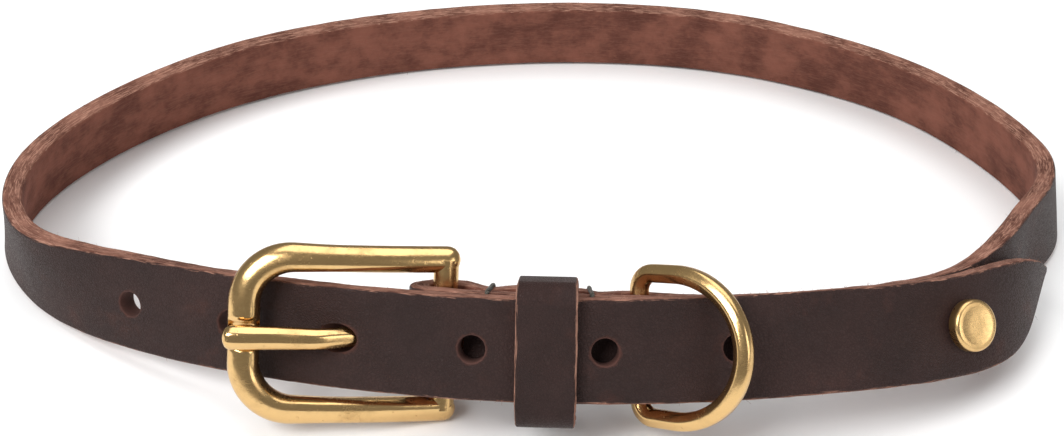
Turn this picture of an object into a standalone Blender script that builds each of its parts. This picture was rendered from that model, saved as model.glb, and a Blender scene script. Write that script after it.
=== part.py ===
"""A leather dog collar, buckled into its loop and standing on its lower edge."""

import math

import bmesh
import bpy
import numpy as np
from mathutils import Matrix, Vector

# Clearance between pieces
CLEAR = 0.0003

# The strap, cut from one thickness of leather
STRAP_WIDTH = 0.016
STRAP_THICK = 0.0034
EDGE_ROUND = 0.0004
POINT_LENGTH = 0.0245
POINT_BLUNTNESS = 0.75
SKIVE_LENGTH = 0.010
SKIVE_LEFT = 0.35
SECTION_STEP = 0.0032

# The row of punched holes
HOLE_DIAMETER = 0.0042
HOLE_PITCH = 0.020
HOLES_PAST_PRONG = 3
HOLES_BEFORE_PRONG = 2

# The loop that the strap's free end and neck part follow, seen from above
LOOP_HALF_WIDTH = 0.100
LOOP_HALF_DEPTH = 0.060
# Stations round the loop, anticlockwise from the right-hand side. across and deep are shares of the two half
# sizes, lean is the strap's tilt in degrees (negative tips its top inwards), and lift is the height of the
# strap's middle as a share of STRAP_WIDTH.
LOOP_STATIONS = (
    # across, deep, lean, lift
    (0.955, 0.045, -15, 0.535),
    (0.90, 0.47, -16, 0.515),
    (0.725, 0.85, -19, 0.52),
    (0.405, 1.125, -15, 0.53),
    (0.025, 1.19, -13, 0.53),
    (-0.38, 1.065, -14, 0.53),
    (-0.715, 0.785, -14, 0.53),
    (-0.94, 0.375, -17, 0.52),
    (-1.02, -0.045, -16, 0.52),
    (-0.92, -0.395, -2, 0.52),
    (-0.67, -0.625, -21, 0.68),
    (-0.34, -0.82, -27, 0.95),
    (0.005, -0.895, -30, 1.07),
    (0.36, -0.835, -39, 1.02),
    (0.68, -0.66, -32, 0.84),
    (0.85, -0.335, -9, 0.64),
)
SAMPLES_A_STATION = 24

# Where the hinge bar of the buckle stands, as a place in the table above
BAR_STATION = 11.415

# Distances along the strap from the hinge bar
PRONG_HOLE_FROM_BAR = 0.0136
FRONT_BAR_FROM_BAR = 0.0286
KEEPER_FROM_BAR = 0.0176
FIRST_STITCH_FROM_BAR = 0.0080
SECOND_STITCH_FROM_BAR = 0.0246
D_RING_FROM_BAR = 0.0329
TURNBACK_LENGTH = 0.0549
STUD_FROM_BAR = 0.0858
POINT_FROM_BAR = 0.1152

# The stretch of the loop, before and after the free end's point, where the strap goes in under it
DIVE_AFTER_POINT = 0.036
DIVE_BEFORE_POINT = 0.004

# The buckle
BAR_DIAMETER = 0.004
FRAME_HEIGHT = 0.0283
FRAME_WIRE = 0.0042
FRAME_DEPTH = 0.0038
FRONT_BAR_SWELL = 1.18
FRAME_CORNER = 0.0075
FRAME_ARCH = 0.0012
RAIL_PAST_BAR = 0.0022
NOTCH_DEPTH = 0.0007
FRONT_BAR_LIFT = 0.0014
PRONG_DIAMETER = 0.0034
PRONG_TIP_SWELL = 1.12
PRONG_OVERHANG = 0.0030
EYE_WALL = 0.0013
EYE_WIDTH = 0.0040
FOLD_SLOT_WIDTH = 0.0050

# The keeper
KEEPER_WIDTH = 0.0092
KEEPER_THICK = 0.0018
KEEPER_SLACK_TOP = 0.0008
KEEPER_SLACK_BOTTOM = 0.0020
KEEPER_CORNER = 0.0014
KEEPER_EASE = 0.0007

# The D-ring
D_WIRE = 0.0030
D_HEIGHT = 0.0257
D_REACH = 0.0222
D_STRAIGHT_SHARE = 0.36
D_TILT = 46.0

# The stud
STUD_DIAMETER = 0.0084
STUD_HEIGHT = 0.0022
STUD_SHANK_DIAMETER = 0.0030
STUD_BACK_DIAMETER = 0.0062
STUD_BACK_THICK = 0.0008

LEATHER = (0.062, 0.036, 0.031)
BRASS = (0.62, 0.43, 0.17)

LAYER = STRAP_THICK + CLEAR
STUD_LAYER = STRAP_THICK + STUD_BACK_THICK + 2 * CLEAR
BAR_RADIUS = BAR_DIAMETER / 2
FOLD_RADIUS = BAR_RADIUS + CLEAR + STRAP_THICK / 2
BAR_DEPTH = -LAYER - FOLD_RADIUS
D_BAR_DEPTH = -LAYER - STRAP_THICK / 2 - CLEAR - D_WIRE / 2
PINCHED = -LAYER - STRAP_THICK - CLEAR


def clear_scene():
    for obj in list(bpy.data.objects):
        bpy.data.objects.remove(obj, do_unlink=True)


def new_collection(name, parent=None):
    collection = bpy.data.collections.new(name)
    (parent or bpy.context.scene.collection).children.link(collection)
    return collection


def smooth(share):
    share = min(max(share, 0.0), 1.0)
    return share * share * (3 - 2 * share)


def along_table(rows, place):
    """The value at a place in (place, value) rows, eased from one row to the next."""
    for (start, first), (end, last) in zip(rows, rows[1:]):
        if place <= end:
            return first + (last - first) * smooth((place - start) / (end - start))
    return rows[-1][1]


class Loop:
    """The closed line that the strap follows, read by the distance along it."""

    def __init__(self):
        table = np.array(LOOP_STATIONS)
        sizes = np.array([LOOP_HALF_WIDTH, LOOP_HALF_DEPTH, math.radians(1), STRAP_WIDTH])
        table = table * sizes
        count = len(table)
        steps = np.arange(count * SAMPLES_A_STATION + 1) / SAMPLES_A_STATION
        whole = np.floor(steps).astype(int)
        part = (steps - whole)[:, None]
        before, here, after, beyond = (table[(whole + k) % count] for k in (-1, 0, 1, 2))
        values = here + 0.5 * part * (
            after - before
            + part * (2 * before - 5 * here + 4 * after - beyond
                      + part * (3 * (here - after) + beyond - before))
        )
        self.place = np.stack([values[:, 0], values[:, 1], values[:, 3]], axis=1)
        self.lean = values[:, 2]
        hops = np.linalg.norm(np.diff(self.place, axis=0), axis=1)
        self.arc = np.concatenate([[0.0], np.cumsum(hops)])
        self.length = self.arc[-1]
        self.steps = steps

    def arc_of(self, station):
        return float(np.interp(station, self.steps, self.arc))

    def point(self, distance):
        distance = distance % self.length
        return Vector([float(np.interp(distance, self.arc, self.place[:, k])) for k in range(3)])

    def frame(self, distance):
        """A matrix whose columns run along the strap, up its width and out of its face, at its middle."""
        reach = self.length / len(self.arc)
        along = (self.point(distance + reach) - self.point(distance - reach)).normalized()
        out = along.cross(Vector((0, 0, 1))).normalized()
        lean = float(np.interp(distance % self.length, self.arc, self.lean))
        up = Vector((0, 0, 1)) * math.cos(lean) + out * math.sin(lean)
        up = (up - along * up.dot(along)).normalized()
        out = along.cross(up).normalized()
        matrix = Matrix((along, up, out)).transposed().to_4x4()
        matrix.translation = self.point(distance)
        return matrix


loop = Loop()
BAR_ARC = loop.arc_of(BAR_STATION)


def at_strap(from_bar, depth=0.0):
    """The strap's frame at a distance from the hinge bar, moved out of its face by depth."""
    return loop.frame(BAR_ARC + from_bar) @ Matrix.Translation((0, 0, depth))


def finish(obj, collection, name, colour, roughness, metallic):
    """Names the object, gives it its material and puts it in its collection."""
    material = bpy.data.materials.new(name)
    material.use_nodes = True
    shader = material.node_tree.nodes["Principled BSDF"]
    shader.inputs["Base Color"].default_value = (*colour, 1)
    shader.inputs["Roughness"].default_value = roughness
    shader.inputs["Metallic"].default_value = metallic
    obj.name = name
    obj.data.name = name
    obj.data.materials.clear()
    obj.data.materials.append(material)
    for other in list(obj.users_collection):
        other.objects.unlink(obj)
    collection.objects.link(obj)
    return obj


def mesh_object(name, bm, collection):
    """A new object from a bmesh, its faces turned outwards."""
    bmesh.ops.recalc_face_normals(bm, faces=bm.faces)
    mesh = bpy.data.meshes.new(name)
    bm.to_mesh(mesh)
    bm.free()
    obj = bpy.data.objects.new(name, mesh)
    collection.objects.link(obj)
    return obj


def cutter(obj):
    obj.hide_render = True
    obj.display_type = "WIRE"
    return obj


def cylinder(name, collection, matrix, radius, low, high, sides=20):
    """A round rod along the matrix's third axis, from low to high on it."""
    bm = bmesh.new()
    bmesh.ops.create_cone(
        bm, cap_ends=True, segments=sides, radius1=radius, radius2=radius, depth=high - low,
        matrix=matrix @ Matrix.Translation((0, 0, (low + high) / 2)),
    )
    return mesh_object(name, bm, collection)


def curve_mesh(curve, name, collection, matrix):
    """The mesh of a bevelled curve, its caps joined to its sides, with the matrix applied."""
    source = bpy.data.objects.new(name, curve)
    bpy.context.scene.collection.objects.link(source)
    graph = bpy.context.evaluated_depsgraph_get()
    mesh = bpy.data.meshes.new_from_object(source.evaluated_get(graph))
    bpy.data.objects.remove(source)
    bm = bmesh.new()
    bm.from_mesh(mesh)
    bpy.data.meshes.remove(mesh)
    bmesh.ops.remove_doubles(bm, verts=bm.verts, dist=1e-6)
    bmesh.ops.transform(bm, matrix=matrix, verts=bm.verts)
    return mesh_object(name, bm, collection)


def oval_section(width, depth, sides=12):
    """A closed oval curve to sweep along another curve."""
    section = bpy.data.curves.new("section", "CURVE")
    section.dimensions = "2D"
    spline = section.splines.new("POLY")
    spline.points.add(sides - 1)
    for k, point in enumerate(spline.points):
        turn = 2 * math.pi * (k + 0.5) / sides
        point.co = (width / 2 * math.cos(turn), depth / 2 * math.sin(turn), 0, 1)
    spline.use_cyclic_u = True
    return bpy.data.objects.new("section", section)


def swept(points, radii, section, closed=False):
    """A curve through the points that carries the oval section, flat side to the plane of the curve."""
    curve = bpy.data.curves.new("sweep", "CURVE")
    curve.dimensions = "3D"
    curve.twist_mode = "Z_UP"
    curve.bevel_mode = "OBJECT"
    curve.bevel_object = section
    curve.use_fill_caps = not closed
    spline = curve.splines.new("POLY")
    spline.points.add(len(points) - 1)
    for point, place, radius in zip(spline.points, points, radii):
        point.co = (*place, 1)
        point.radius = radius
    spline.use_cyclic_u = closed
    return curve


def add_boolean(obj, operation, *, other=None, collection=None):
    modifier = obj.modifiers.new(operation.title(), "BOOLEAN")
    modifier.operation = operation
    modifier.solver = "EXACT"
    if collection:
        modifier.operand_type = "COLLECTION"
        modifier.collection = collection
    else:
        modifier.object = other


# Strap


def layer_depth(back_from_point):
    """How far in the strap lies once it has gone round and comes back under its own point."""
    rows = (
        (loop.length - DIVE_AFTER_POINT, 0.0),
        (loop.length - DIVE_BEFORE_POINT, -STUD_LAYER),
        (loop.length + POINT_FROM_BAR - STUD_FROM_BAR + 0.006, -STUD_LAYER),
        (loop.length + POINT_FROM_BAR - STUD_FROM_BAR + 0.030, -LAYER),
    )
    return 0.0 if back_from_point < rows[0][0] else along_table(rows, back_from_point)


def turnback_depth(from_bar):
    """The depth of the turnback: pinched at the stitches, bulged over the keeper and the D-ring's bar."""
    over_keeper = -LAYER - STRAP_THICK - KEEPER_THICK - 2 * KEEPER_EASE
    over_ring = PINCHED - D_WIRE - CLEAR
    half_keeper = KEEPER_WIDTH / 2
    rows = (
        (0.0, BAR_DEPTH - FOLD_RADIUS),
        (BAR_RADIUS, BAR_DEPTH - FOLD_RADIUS),
        (FIRST_STITCH_FROM_BAR, PINCHED),
        (KEEPER_FROM_BAR - half_keeper - 4 * CLEAR, over_keeper),
        (KEEPER_FROM_BAR + half_keeper + 4 * CLEAR, over_keeper),
        (SECOND_STITCH_FROM_BAR + 6 * CLEAR, PINCHED),
        (D_RING_FROM_BAR - D_WIRE * 0.4, over_ring),
        (D_RING_FROM_BAR + D_WIRE * 0.4, over_ring),
        (D_RING_FROM_BAR + D_WIRE * 3.6, PINCHED),
        (TURNBACK_LENGTH, PINCHED),
    )
    return along_table(rows, from_bar)


def strap_sections():
    """(matrix, half width, share of the thickness) from the free end's point to the end of the turnback."""
    sections = []
    half = STRAP_WIDTH / 2
    point_steps = 10
    for k in range(point_steps):
        share = math.sin(math.pi / 2 * (k + 0.35) / point_steps)
        wide = (1 - (1 - share) ** 2) ** POINT_BLUNTNESS
        sections.append((at_strap(POINT_FROM_BAR - share * POINT_LENGTH), half * wide, 1.0))
    sections[0] = (at_strap(POINT_FROM_BAR), half * 0.16, 1.0)
    run = loop.length + POINT_FROM_BAR
    count = round((run - POINT_LENGTH) / SECTION_STEP)
    for k in range(1, count + 1):
        travel = POINT_LENGTH + (run - POINT_LENGTH) * k / count
        sections.append((at_strap(POINT_FROM_BAR - travel, layer_depth(travel)), half, 1.0))
    bar = at_strap(0.0, BAR_DEPTH)
    fold_steps = 9
    for k in range(1, fold_steps):
        turn = Matrix.Rotation(-math.pi * k / fold_steps, 4, "Y")
        sections.append((bar @ turn @ Matrix.Translation((0, 0, FOLD_RADIUS)), half, 1.0))
    turn_steps = round(TURNBACK_LENGTH / 0.0012)
    for k in range(turn_steps + 1):
        place = TURNBACK_LENGTH * k / turn_steps
        left = TURNBACK_LENGTH - place
        share = SKIVE_LEFT + (1 - SKIVE_LEFT) * min(left / SKIVE_LENGTH, 1.0)
        depth = turnback_depth(place) + STRAP_THICK * (1 - share) / 2
        sections.append((at_strap(place, depth), half, share))
    return sections


def make_punches():
    """Everything that is cut out of the strap: its holes, the stud's hole and the slot in the fold."""
    punches = new_collection("strap_punches")
    floor = -STRAP_THICK / 2 - CLEAR / 2
    for k in range(-HOLES_BEFORE_PRONG, HOLES_PAST_PRONG + 1):
        if k == 0:
            continue
        place = at_strap(-PRONG_HOLE_FROM_BAR + k * HOLE_PITCH)
        cutter(cylinder(f"hole_{k}", punches, place, HOLE_DIAMETER / 2, floor, STRAP_THICK))
    stud = at_strap(STUD_FROM_BAR)
    cutter(cylinder("stud_hole", punches, stud, STUD_SHANK_DIAMETER / 2 + CLEAR, floor, STRAP_THICK))
    slot = bmesh.new()
    reach = FOLD_RADIUS + STRAP_THICK
    top = -LAYER + STRAP_THICK / 2 + CLEAR / 2
    bottom = BAR_DEPTH - reach
    size = Matrix.Diagonal((2 * reach, FOLD_SLOT_WIDTH, top - bottom, 1))
    place = at_strap(-reach * 0.4, (top + bottom) / 2)
    bmesh.ops.create_cube(slot, size=1, matrix=place @ size)
    cutter(mesh_object("fold_slot", slot, punches))
    through = smooth_line(prong_points(), 4)[3:19]
    prong_hole = curve_mesh(
        round_wire(through, [1.0] * len(through), PRONG_DIAMETER / 2 + 2 * CLEAR),
        "prong_hole", punches, Matrix(),
    )
    cutter(prong_hole)
    return punches


def make_strap(collection, punches):
    sections = strap_sections()
    across = 2
    bm = bmesh.new()
    bmesh.ops.create_grid(bm, x_segments=len(sections) - 1, y_segments=across, size=1)
    group = bm.verts.layers.deform.new()
    for vert in bm.verts:
        index = round((vert.co.x + 1) / 2 * (len(sections) - 1))
        matrix, half, share = sections[index]
        vert[group][0] = share
        vert.co = matrix @ Vector((0, vert.co.y * half, 0))
    mesh = bpy.data.meshes.new("strap")
    bm.to_mesh(mesh)
    bm.free()
    obj = bpy.data.objects.new("strap", mesh)
    obj.vertex_groups.new(name="thickness")
    solid = obj.modifiers.new("Thickness", "SOLIDIFY")
    solid.thickness = STRAP_THICK
    solid.offset = 0
    solid.use_even_offset = False
    solid.vertex_group = "thickness"
    bevel = obj.modifiers.new("Edges", "BEVEL")
    bevel.width = EDGE_ROUND
    bevel.segments = 1
    bevel.limit_method = "ANGLE"
    bevel.angle_limit = math.radians(50)
    collection.objects.link(obj)
    add_boolean(obj, "DIFFERENCE", collection=punches)
    return finish(obj, collection, "strap", LEATHER, 0.5, 0.0)


# Keeper


def rounded_box(low, high, left, right, corner, steps=4):
    """Points round a box with rounded corners, as (out, up) pairs."""
    centres = (
        (right - corner, high - corner, 0),
        (left + corner, high - corner, 1),
        (left + corner, low + corner, 2),
        (right - corner, low + corner, 3),
    )
    points = []
    for out, up, quarter in centres:
        for k in range(steps + 1):
            turn = math.pi / 2 * (quarter + k / steps)
            points.append((out + corner * math.cos(turn), up + corner * math.sin(turn)))
    return points


def make_keeper(collection):
    half = KEEPER_THICK / 2
    front = STRAP_THICK / 2 + CLEAR + half
    back = -LAYER - STRAP_THICK / 2 - KEEPER_EASE - half
    top = STRAP_WIDTH / 2 + KEEPER_SLACK_TOP + half
    bottom = -STRAP_WIDTH / 2 - KEEPER_SLACK_BOTTOM - half
    outline = rounded_box(bottom, top, back, front, KEEPER_CORNER + half)
    place = at_strap(KEEPER_FROM_BAR)
    bm = bmesh.new()
    verts = [bm.verts.new(place @ Vector((-KEEPER_WIDTH / 2, up, out))) for out, up in outline]
    edges = [bm.edges.new((verts[k - 1], verts[k])) for k in range(len(verts))]
    wall = bmesh.ops.extrude_edge_only(bm, edges=edges)["geom"]
    moved = [item for item in wall if isinstance(item, bmesh.types.BMVert)]
    along = place.to_3x3() @ Vector((KEEPER_WIDTH, 0, 0))
    bmesh.ops.translate(bm, vec=along, verts=moved)
    obj = mesh_object("keeper", bm, collection)
    solid = obj.modifiers.new("Thickness", "SOLIDIFY")
    solid.thickness = KEEPER_THICK
    solid.offset = 0
    solid.use_even_offset = True
    return finish(obj, collection, "keeper", LEATHER, 0.5, 0.0)


# Buckle


def round_wire(points, radii, radius, resolution=3):
    """A round wire through the points, its thickness a share of radius at each."""
    curve = bpy.data.curves.new("wire", "CURVE")
    curve.dimensions = "3D"
    curve.bevel_depth = radius
    curve.bevel_resolution = resolution
    curve.use_fill_caps = True
    spline = curve.splines.new("POLY")
    spline.points.add(len(points) - 1)
    for point, place, share in zip(spline.points, points, radii):
        point.co = (*place, 1)
        point.radius = share
    return curve


def hinge_bar_place():
    return at_strap(0.0, BAR_DEPTH)


def front_bar_place():
    depth = STRAP_THICK / 2 + FRONT_BAR_LIFT + FRAME_DEPTH / 2 * FRONT_BAR_SWELL
    return at_strap(-FRONT_BAR_FROM_BAR, depth)


def frame_plane():
    """The buckle frame's own plane: from the hinge bar towards the front bar, across it, and out of it."""
    start = hinge_bar_place()
    end = front_bar_place()
    along = end.translation - start.translation
    length = along.length
    along.normalize()
    across = start.to_3x3() @ Vector((0, 1, 0))
    across = (across - along * across.dot(along)).normalized()
    out = across.cross(along).normalized()
    matrix = Matrix((along, -across, out)).transposed().to_4x4()
    matrix.translation = start.translation
    return matrix, length


def make_frame(parts, cutters):
    place, length = frame_plane()
    side = (FRAME_HEIGHT - FRAME_WIRE) / 2
    path = [(-RAIL_PAST_BAR, side), (-RAIL_PAST_BAR * 0.82, side), (-RAIL_PAST_BAR * 0.3, side)]
    path += [(length * share, side) for share in (0.1, 0.25, 0.4, 0.55)]
    corner_steps = 7
    for k in range(corner_steps + 1):
        turn = math.pi / 2 * k / corner_steps
        path.append((length - FRAME_CORNER * (1 - math.sin(turn)), side - FRAME_CORNER * (1 - math.cos(turn))))
    path.append((length, (side - FRAME_CORNER) / 2))
    path.append((length, 0.0))
    path += [(along, -across) for along, across in reversed(path[:-1])]
    radii = []
    points = []
    for along, across in path:
        share = max(along, 0.0) / length
        points.append((along, across, FRAME_ARCH * math.sin(math.pi * share)))
        end = max(-along / RAIL_PAST_BAR, 0.0)
        radii.append((1 + (FRONT_BAR_SWELL - 1) * smooth(share * 2 - 1)) * math.sqrt(1 - 0.75 * end ** 4))
    section = oval_section(FRAME_WIRE, FRAME_DEPTH)
    obj = curve_mesh(swept(points, radii, section), "buckle_frame", parts, place)
    bpy.data.objects.remove(section)
    bar_matrix = place @ Matrix.Rotation(math.pi / 2, 4, "X")
    bar = cutter(cylinder("hinge_bar", cutters, bar_matrix, BAR_RADIUS, -side, side, 16))
    add_boolean(obj, "UNION", other=bar)
    notch_at = prong_points()[-3]
    tip = prong_points()[-1]
    notch = curve_mesh(
        round_wire([notch_at + (notch_at - tip), notch_at, tip + (tip - notch_at)], [1, 1, 1],
                   PRONG_DIAMETER / 2 * PRONG_TIP_SWELL + CLEAR),
        "prong_notch", cutters, Matrix(),
    )
    add_boolean(obj, "DIFFERENCE", other=cutter(notch))
    return finish(obj, parts, "buckle_frame", BRASS, 0.25, 1.0)


def prong_points():
    """The prong's line: off the eye, up through the free end's hole, and down onto the front bar's notch."""
    bar = hinge_bar_place().translation
    hole = at_strap(-PRONG_HOLE_FROM_BAR)
    plane, length = frame_plane()
    rest = FRAME_DEPTH / 2 * FRONT_BAR_SWELL - NOTCH_DEPTH + CLEAR + PRONG_DIAMETER / 2 * PRONG_TIP_SWELL
    radius = PRONG_DIAMETER / 2
    eye = BAR_RADIUS + CLEAR + EYE_WALL / 2
    start = plane @ Vector((eye * 0.4, 0, eye * 0.8))
    knee = hole @ Vector((0.0012, 0, -radius * 0.3))
    bend = hole @ Vector((-0.0030, 0, STRAP_THICK / 2 + radius * 0.9))
    back = plane @ Vector((length - FRAME_WIRE * 1.1, 0, rest))
    seat = plane @ Vector((length, 0, rest))
    tip = plane @ Vector((length + PRONG_OVERHANG, 0, rest - radius * 0.25))
    under = start.lerp(knee, 0.55) + (plane.to_3x3() @ Vector((0, 0, -radius * 0.35)))
    over = bend.lerp(back, 0.45) + (plane.to_3x3() @ Vector((0, 0, radius * 0.12)))
    return [start, under, knee, bend, over, back, seat, tip]


def smooth_line(points, steps):
    """Points on a smooth line through the given ones."""
    line = []
    ends = [points[0] * 2 - points[1], *points, points[-1] * 2 - points[-2]]
    for a, b, c, d in zip(ends, ends[1:], ends[2:], ends[3:]):
        for k in range(steps):
            f = k / steps
            line.append(b + 0.5 * f * (c - a + f * (2 * a - 5 * b + 4 * c - d + f * (3 * (b - c) + d - a))))
    return [*line, points[-1]]


def make_prong(parts, cutters):
    line = smooth_line(prong_points(), 4)
    radii = []
    for k in range(len(line)):
        share = k / (len(line) - 1)
        swell = 0.94 + (PRONG_TIP_SWELL - 0.94) * smooth(share * 1.6 - 0.5)
        close = max(share - 0.9, 0.0) / 0.1
        radii.append(swell * math.sqrt(1 - 0.7 * close ** 2))
    obj = curve_mesh(round_wire(line, radii, PRONG_DIAMETER / 2), "buckle_prong", parts, Matrix())
    plane, _ = frame_plane()
    axis = plane @ Matrix.Rotation(math.pi / 2, 4, "X")
    outer = BAR_RADIUS + CLEAR + EYE_WALL
    eye = cutter(cylinder("prong_eye", cutters, axis, outer, -EYE_WIDTH / 2, EYE_WIDTH / 2, 20))
    bore = cutter(cylinder("eye_bore", cutters, axis, BAR_RADIUS + CLEAR, -EYE_WIDTH, EYE_WIDTH, 20))
    add_boolean(obj, "UNION", other=eye)
    add_boolean(obj, "DIFFERENCE", other=bore)
    return finish(obj, parts, "buckle_prong", BRASS, 0.22, 1.0)


# D-ring


def make_d_ring(parts):
    """The ring in its own plane, its origin on the axis of its straight bar."""
    place = at_strap(D_RING_FROM_BAR, D_BAR_DEPTH)
    side = (D_HEIGHT - D_WIRE) / 2
    reach = D_REACH - D_WIRE
    straight = reach * D_STRAIGHT_SHARE
    corner = D_WIRE * 0.9
    points = [(0.0, -side * 0.5), (0.0, 0.0), (0.0, side * 0.5)]
    for k in range(5):
        turn = math.pi / 2 * k / 4
        points.append((corner * (1 - math.cos(turn)), side - corner * (1 - math.sin(turn))))
    bow_steps = 18
    for k in range(bow_steps + 1):
        turn = math.pi * (0.5 - k / bow_steps)
        points.append((straight + (reach - straight) * math.cos(turn), side * math.sin(turn)))
    for k in range(5):
        turn = math.pi / 2 * (1 - k / 4)
        points.append((corner * (1 - math.cos(turn)), -side + corner * (1 - math.sin(turn))))
    wire = oval_section(D_WIRE, D_WIRE, 10)
    curve = swept([(x, y, 0.0) for x, y in points], [1.0] * len(points), wire, closed=True)
    tilt = Matrix.Rotation(-math.radians(D_TILT), 4, "Y")
    obj = curve_mesh(curve, "d_ring", parts, Matrix())
    bpy.data.objects.remove(wire)
    obj.matrix_world = place @ tilt
    return finish(obj, parts, "d_ring", BRASS, 0.25, 1.0)


# Stud


def turned(name, collection, profile, matrix, sides):
    """A solid of revolution about the matrix's third axis."""
    bm = bmesh.new()
    verts = [bm.verts.new((radius, 0, height)) for radius, height in profile]
    for first, second in zip(verts, verts[1:]):
        bm.edges.new((first, second))
    mesh = bpy.data.meshes.new(name)
    bm.to_mesh(mesh)
    bm.free()
    obj = bpy.data.objects.new(name, mesh)
    collection.objects.link(obj)
    screw = obj.modifiers.new("Turn", "SCREW")
    screw.steps = sides
    screw.render_steps = sides
    screw.use_merge_vertices = True
    screw.merge_threshold = 0.00001
    screw.use_smooth_shade = False
    obj.matrix_world = matrix
    return obj


def make_stud(parts):
    radius = STUD_DIAMETER / 2
    shank = STUD_SHANK_DIAMETER / 2
    foot = STRAP_THICK / 2 + CLEAR
    top = foot + STUD_HEIGHT
    profile = (
        (0.0, top),
        (radius * 0.72, top),
        (radius * 0.90, top - STUD_HEIGHT * 0.10),
        (radius, top - STUD_HEIGHT * 0.35),
        (radius, foot + STUD_HEIGHT * 0.2),
        (radius * 0.92, foot),
        (shank, foot),
        (shank, -STRAP_THICK / 2),
        (0.0, -STRAP_THICK / 2),
    )
    obj = turned("stud", parts, profile, at_strap(STUD_FROM_BAR), 28)
    finish(obj, parts, "stud", BRASS, 0.2, 1.0)
    head = -STRAP_THICK / 2 - CLEAR
    back_profile = (
        (0.0, head),
        (STUD_BACK_DIAMETER / 2, head),
        (STUD_BACK_DIAMETER / 2, head - STUD_BACK_THICK * 0.6),
        (STUD_BACK_DIAMETER / 2 * 0.9, head - STUD_BACK_THICK),
        (0.0, head - STUD_BACK_THICK),
    )
    back = turned("stud_back", parts, back_profile, at_strap(STUD_FROM_BAR), 20)
    return [obj, finish(back, parts, "stud_back", BRASS, 0.3, 1.0)]


def seat_on_origin(objects):
    """Hangs every piece and cutter on one empty, and moves it so that the collar's base is centred on the origin."""
    bpy.context.view_layer.update()
    graph = bpy.context.evaluated_depsgraph_get()
    corners = []
    for obj in objects:
        shape = obj.evaluated_get(graph)
        corners += [shape.matrix_world @ vert.co for vert in shape.data.vertices]
    low = Vector([min(corner[k] for corner in corners) for k in range(3)])
    high = Vector([max(corner[k] for corner in corners) for k in range(3)])
    root = bpy.data.objects.new("collar_root", None)
    for obj in bpy.data.objects:
        if obj != root:
            obj.parent = root
    bpy.context.scene.collection.objects.link(root)
    root.location = (-(low.x + high.x) / 2, -(low.y + high.y) / 2, -low.z)


def main():
    clear_scene()
    parts = new_collection("dog_collar")
    cutters = new_collection("buckle_cutters")
    punches = make_punches()
    objects = [
        make_strap(parts, punches),
        make_keeper(parts),
        make_frame(parts, cutters),
        make_prong(parts, cutters),
        make_d_ring(parts),
        *make_stud(parts),
    ]
    for obj in objects:
        obj.data.shade_smooth()
        obj.data.set_sharp_from_angle(angle=math.radians(35))
    seat_on_origin(objects)


main()
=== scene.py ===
"""The looks of a leather dog collar with brass fittings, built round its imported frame."""

import math

import bmesh
import bpy
import numpy as np
from mathutils import Matrix, Vector, noise


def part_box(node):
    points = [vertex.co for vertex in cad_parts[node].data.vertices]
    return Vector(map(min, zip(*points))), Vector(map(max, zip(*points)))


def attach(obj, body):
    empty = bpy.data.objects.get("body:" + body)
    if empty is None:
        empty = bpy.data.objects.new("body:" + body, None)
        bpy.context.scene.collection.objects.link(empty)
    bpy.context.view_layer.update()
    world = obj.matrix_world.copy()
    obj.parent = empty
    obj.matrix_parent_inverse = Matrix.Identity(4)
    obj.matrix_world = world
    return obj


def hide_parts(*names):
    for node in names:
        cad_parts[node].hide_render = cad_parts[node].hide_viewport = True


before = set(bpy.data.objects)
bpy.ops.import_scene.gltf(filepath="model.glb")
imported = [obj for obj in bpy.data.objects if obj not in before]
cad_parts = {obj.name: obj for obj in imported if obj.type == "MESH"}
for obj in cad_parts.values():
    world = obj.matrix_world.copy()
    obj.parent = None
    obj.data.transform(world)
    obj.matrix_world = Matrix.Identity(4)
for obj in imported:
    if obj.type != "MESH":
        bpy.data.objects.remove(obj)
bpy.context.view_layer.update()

bl_info = {
    "name": "Leather Dog Collar",
    "version": (1, 0, 0),
    "blender": (4, 5, 0),
    "location": "View3D > Sidebar > Collar",
    "description": "Builds a buckled leather collar with its keeper, brass buckle, D-ring and stud",
    "category": "Add Mesh",
}

# The collar's own measures, as in its solids
CLEAR = 0.0003
STRAP_WIDTH = 0.016
STRAP_THICK = 0.0034
POINT_LENGTH = 0.0245
POINT_BLUNTNESS = 0.75
SKIVE_LENGTH = 0.010
SKIVE_LEFT = 0.35
HOLE_DIAMETER = 0.0042
HOLE_PITCH = 0.020
HOLES_PAST_PRONG = 3
HOLES_BEFORE_PRONG = 2
LOOP_HALF_WIDTH = 0.100
LOOP_HALF_DEPTH = 0.060
# Stations round the loop, anticlockwise from the right-hand side: shares of the two half sizes, the strap's
# lean in degrees, and the height of its middle as a share of its width
LOOP_STATIONS = (
    (0.955, 0.045, -15, 0.535), (0.90, 0.47, -16, 0.515), (0.725, 0.85, -19, 0.52),
    (0.405, 1.125, -15, 0.53), (0.025, 1.19, -13, 0.53), (-0.38, 1.065, -14, 0.53),
    (-0.715, 0.785, -14, 0.53), (-0.94, 0.375, -17, 0.52), (-1.02, -0.045, -16, 0.52),
    (-0.92, -0.395, -2, 0.52), (-0.67, -0.625, -21, 0.68), (-0.34, -0.82, -27, 0.95),
    (0.005, -0.895, -30, 1.07), (0.36, -0.835, -39, 1.02), (0.68, -0.66, -32, 0.84),
    (0.85, -0.335, -9, 0.64),
)
SAMPLES_A_STATION = 48
BAR_STATION = 11.415
PRONG_HOLE_FROM_BAR = 0.0136
FRONT_BAR_FROM_BAR = 0.0286
KEEPER_FROM_BAR = 0.0176
FIRST_STITCH_FROM_BAR = 0.0080
SECOND_STITCH_FROM_BAR = 0.0246
D_RING_FROM_BAR = 0.0329
TURNBACK_LENGTH = 0.0549
STUD_FROM_BAR = 0.0858
POINT_FROM_BAR = 0.1152
DIVE_AFTER_POINT = 0.036
DIVE_BEFORE_POINT = 0.004
BAR_DIAMETER = 0.004
FRAME_HEIGHT = 0.0283
FRAME_WIRE = 0.0042
FRAME_DEPTH = 0.0038
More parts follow.
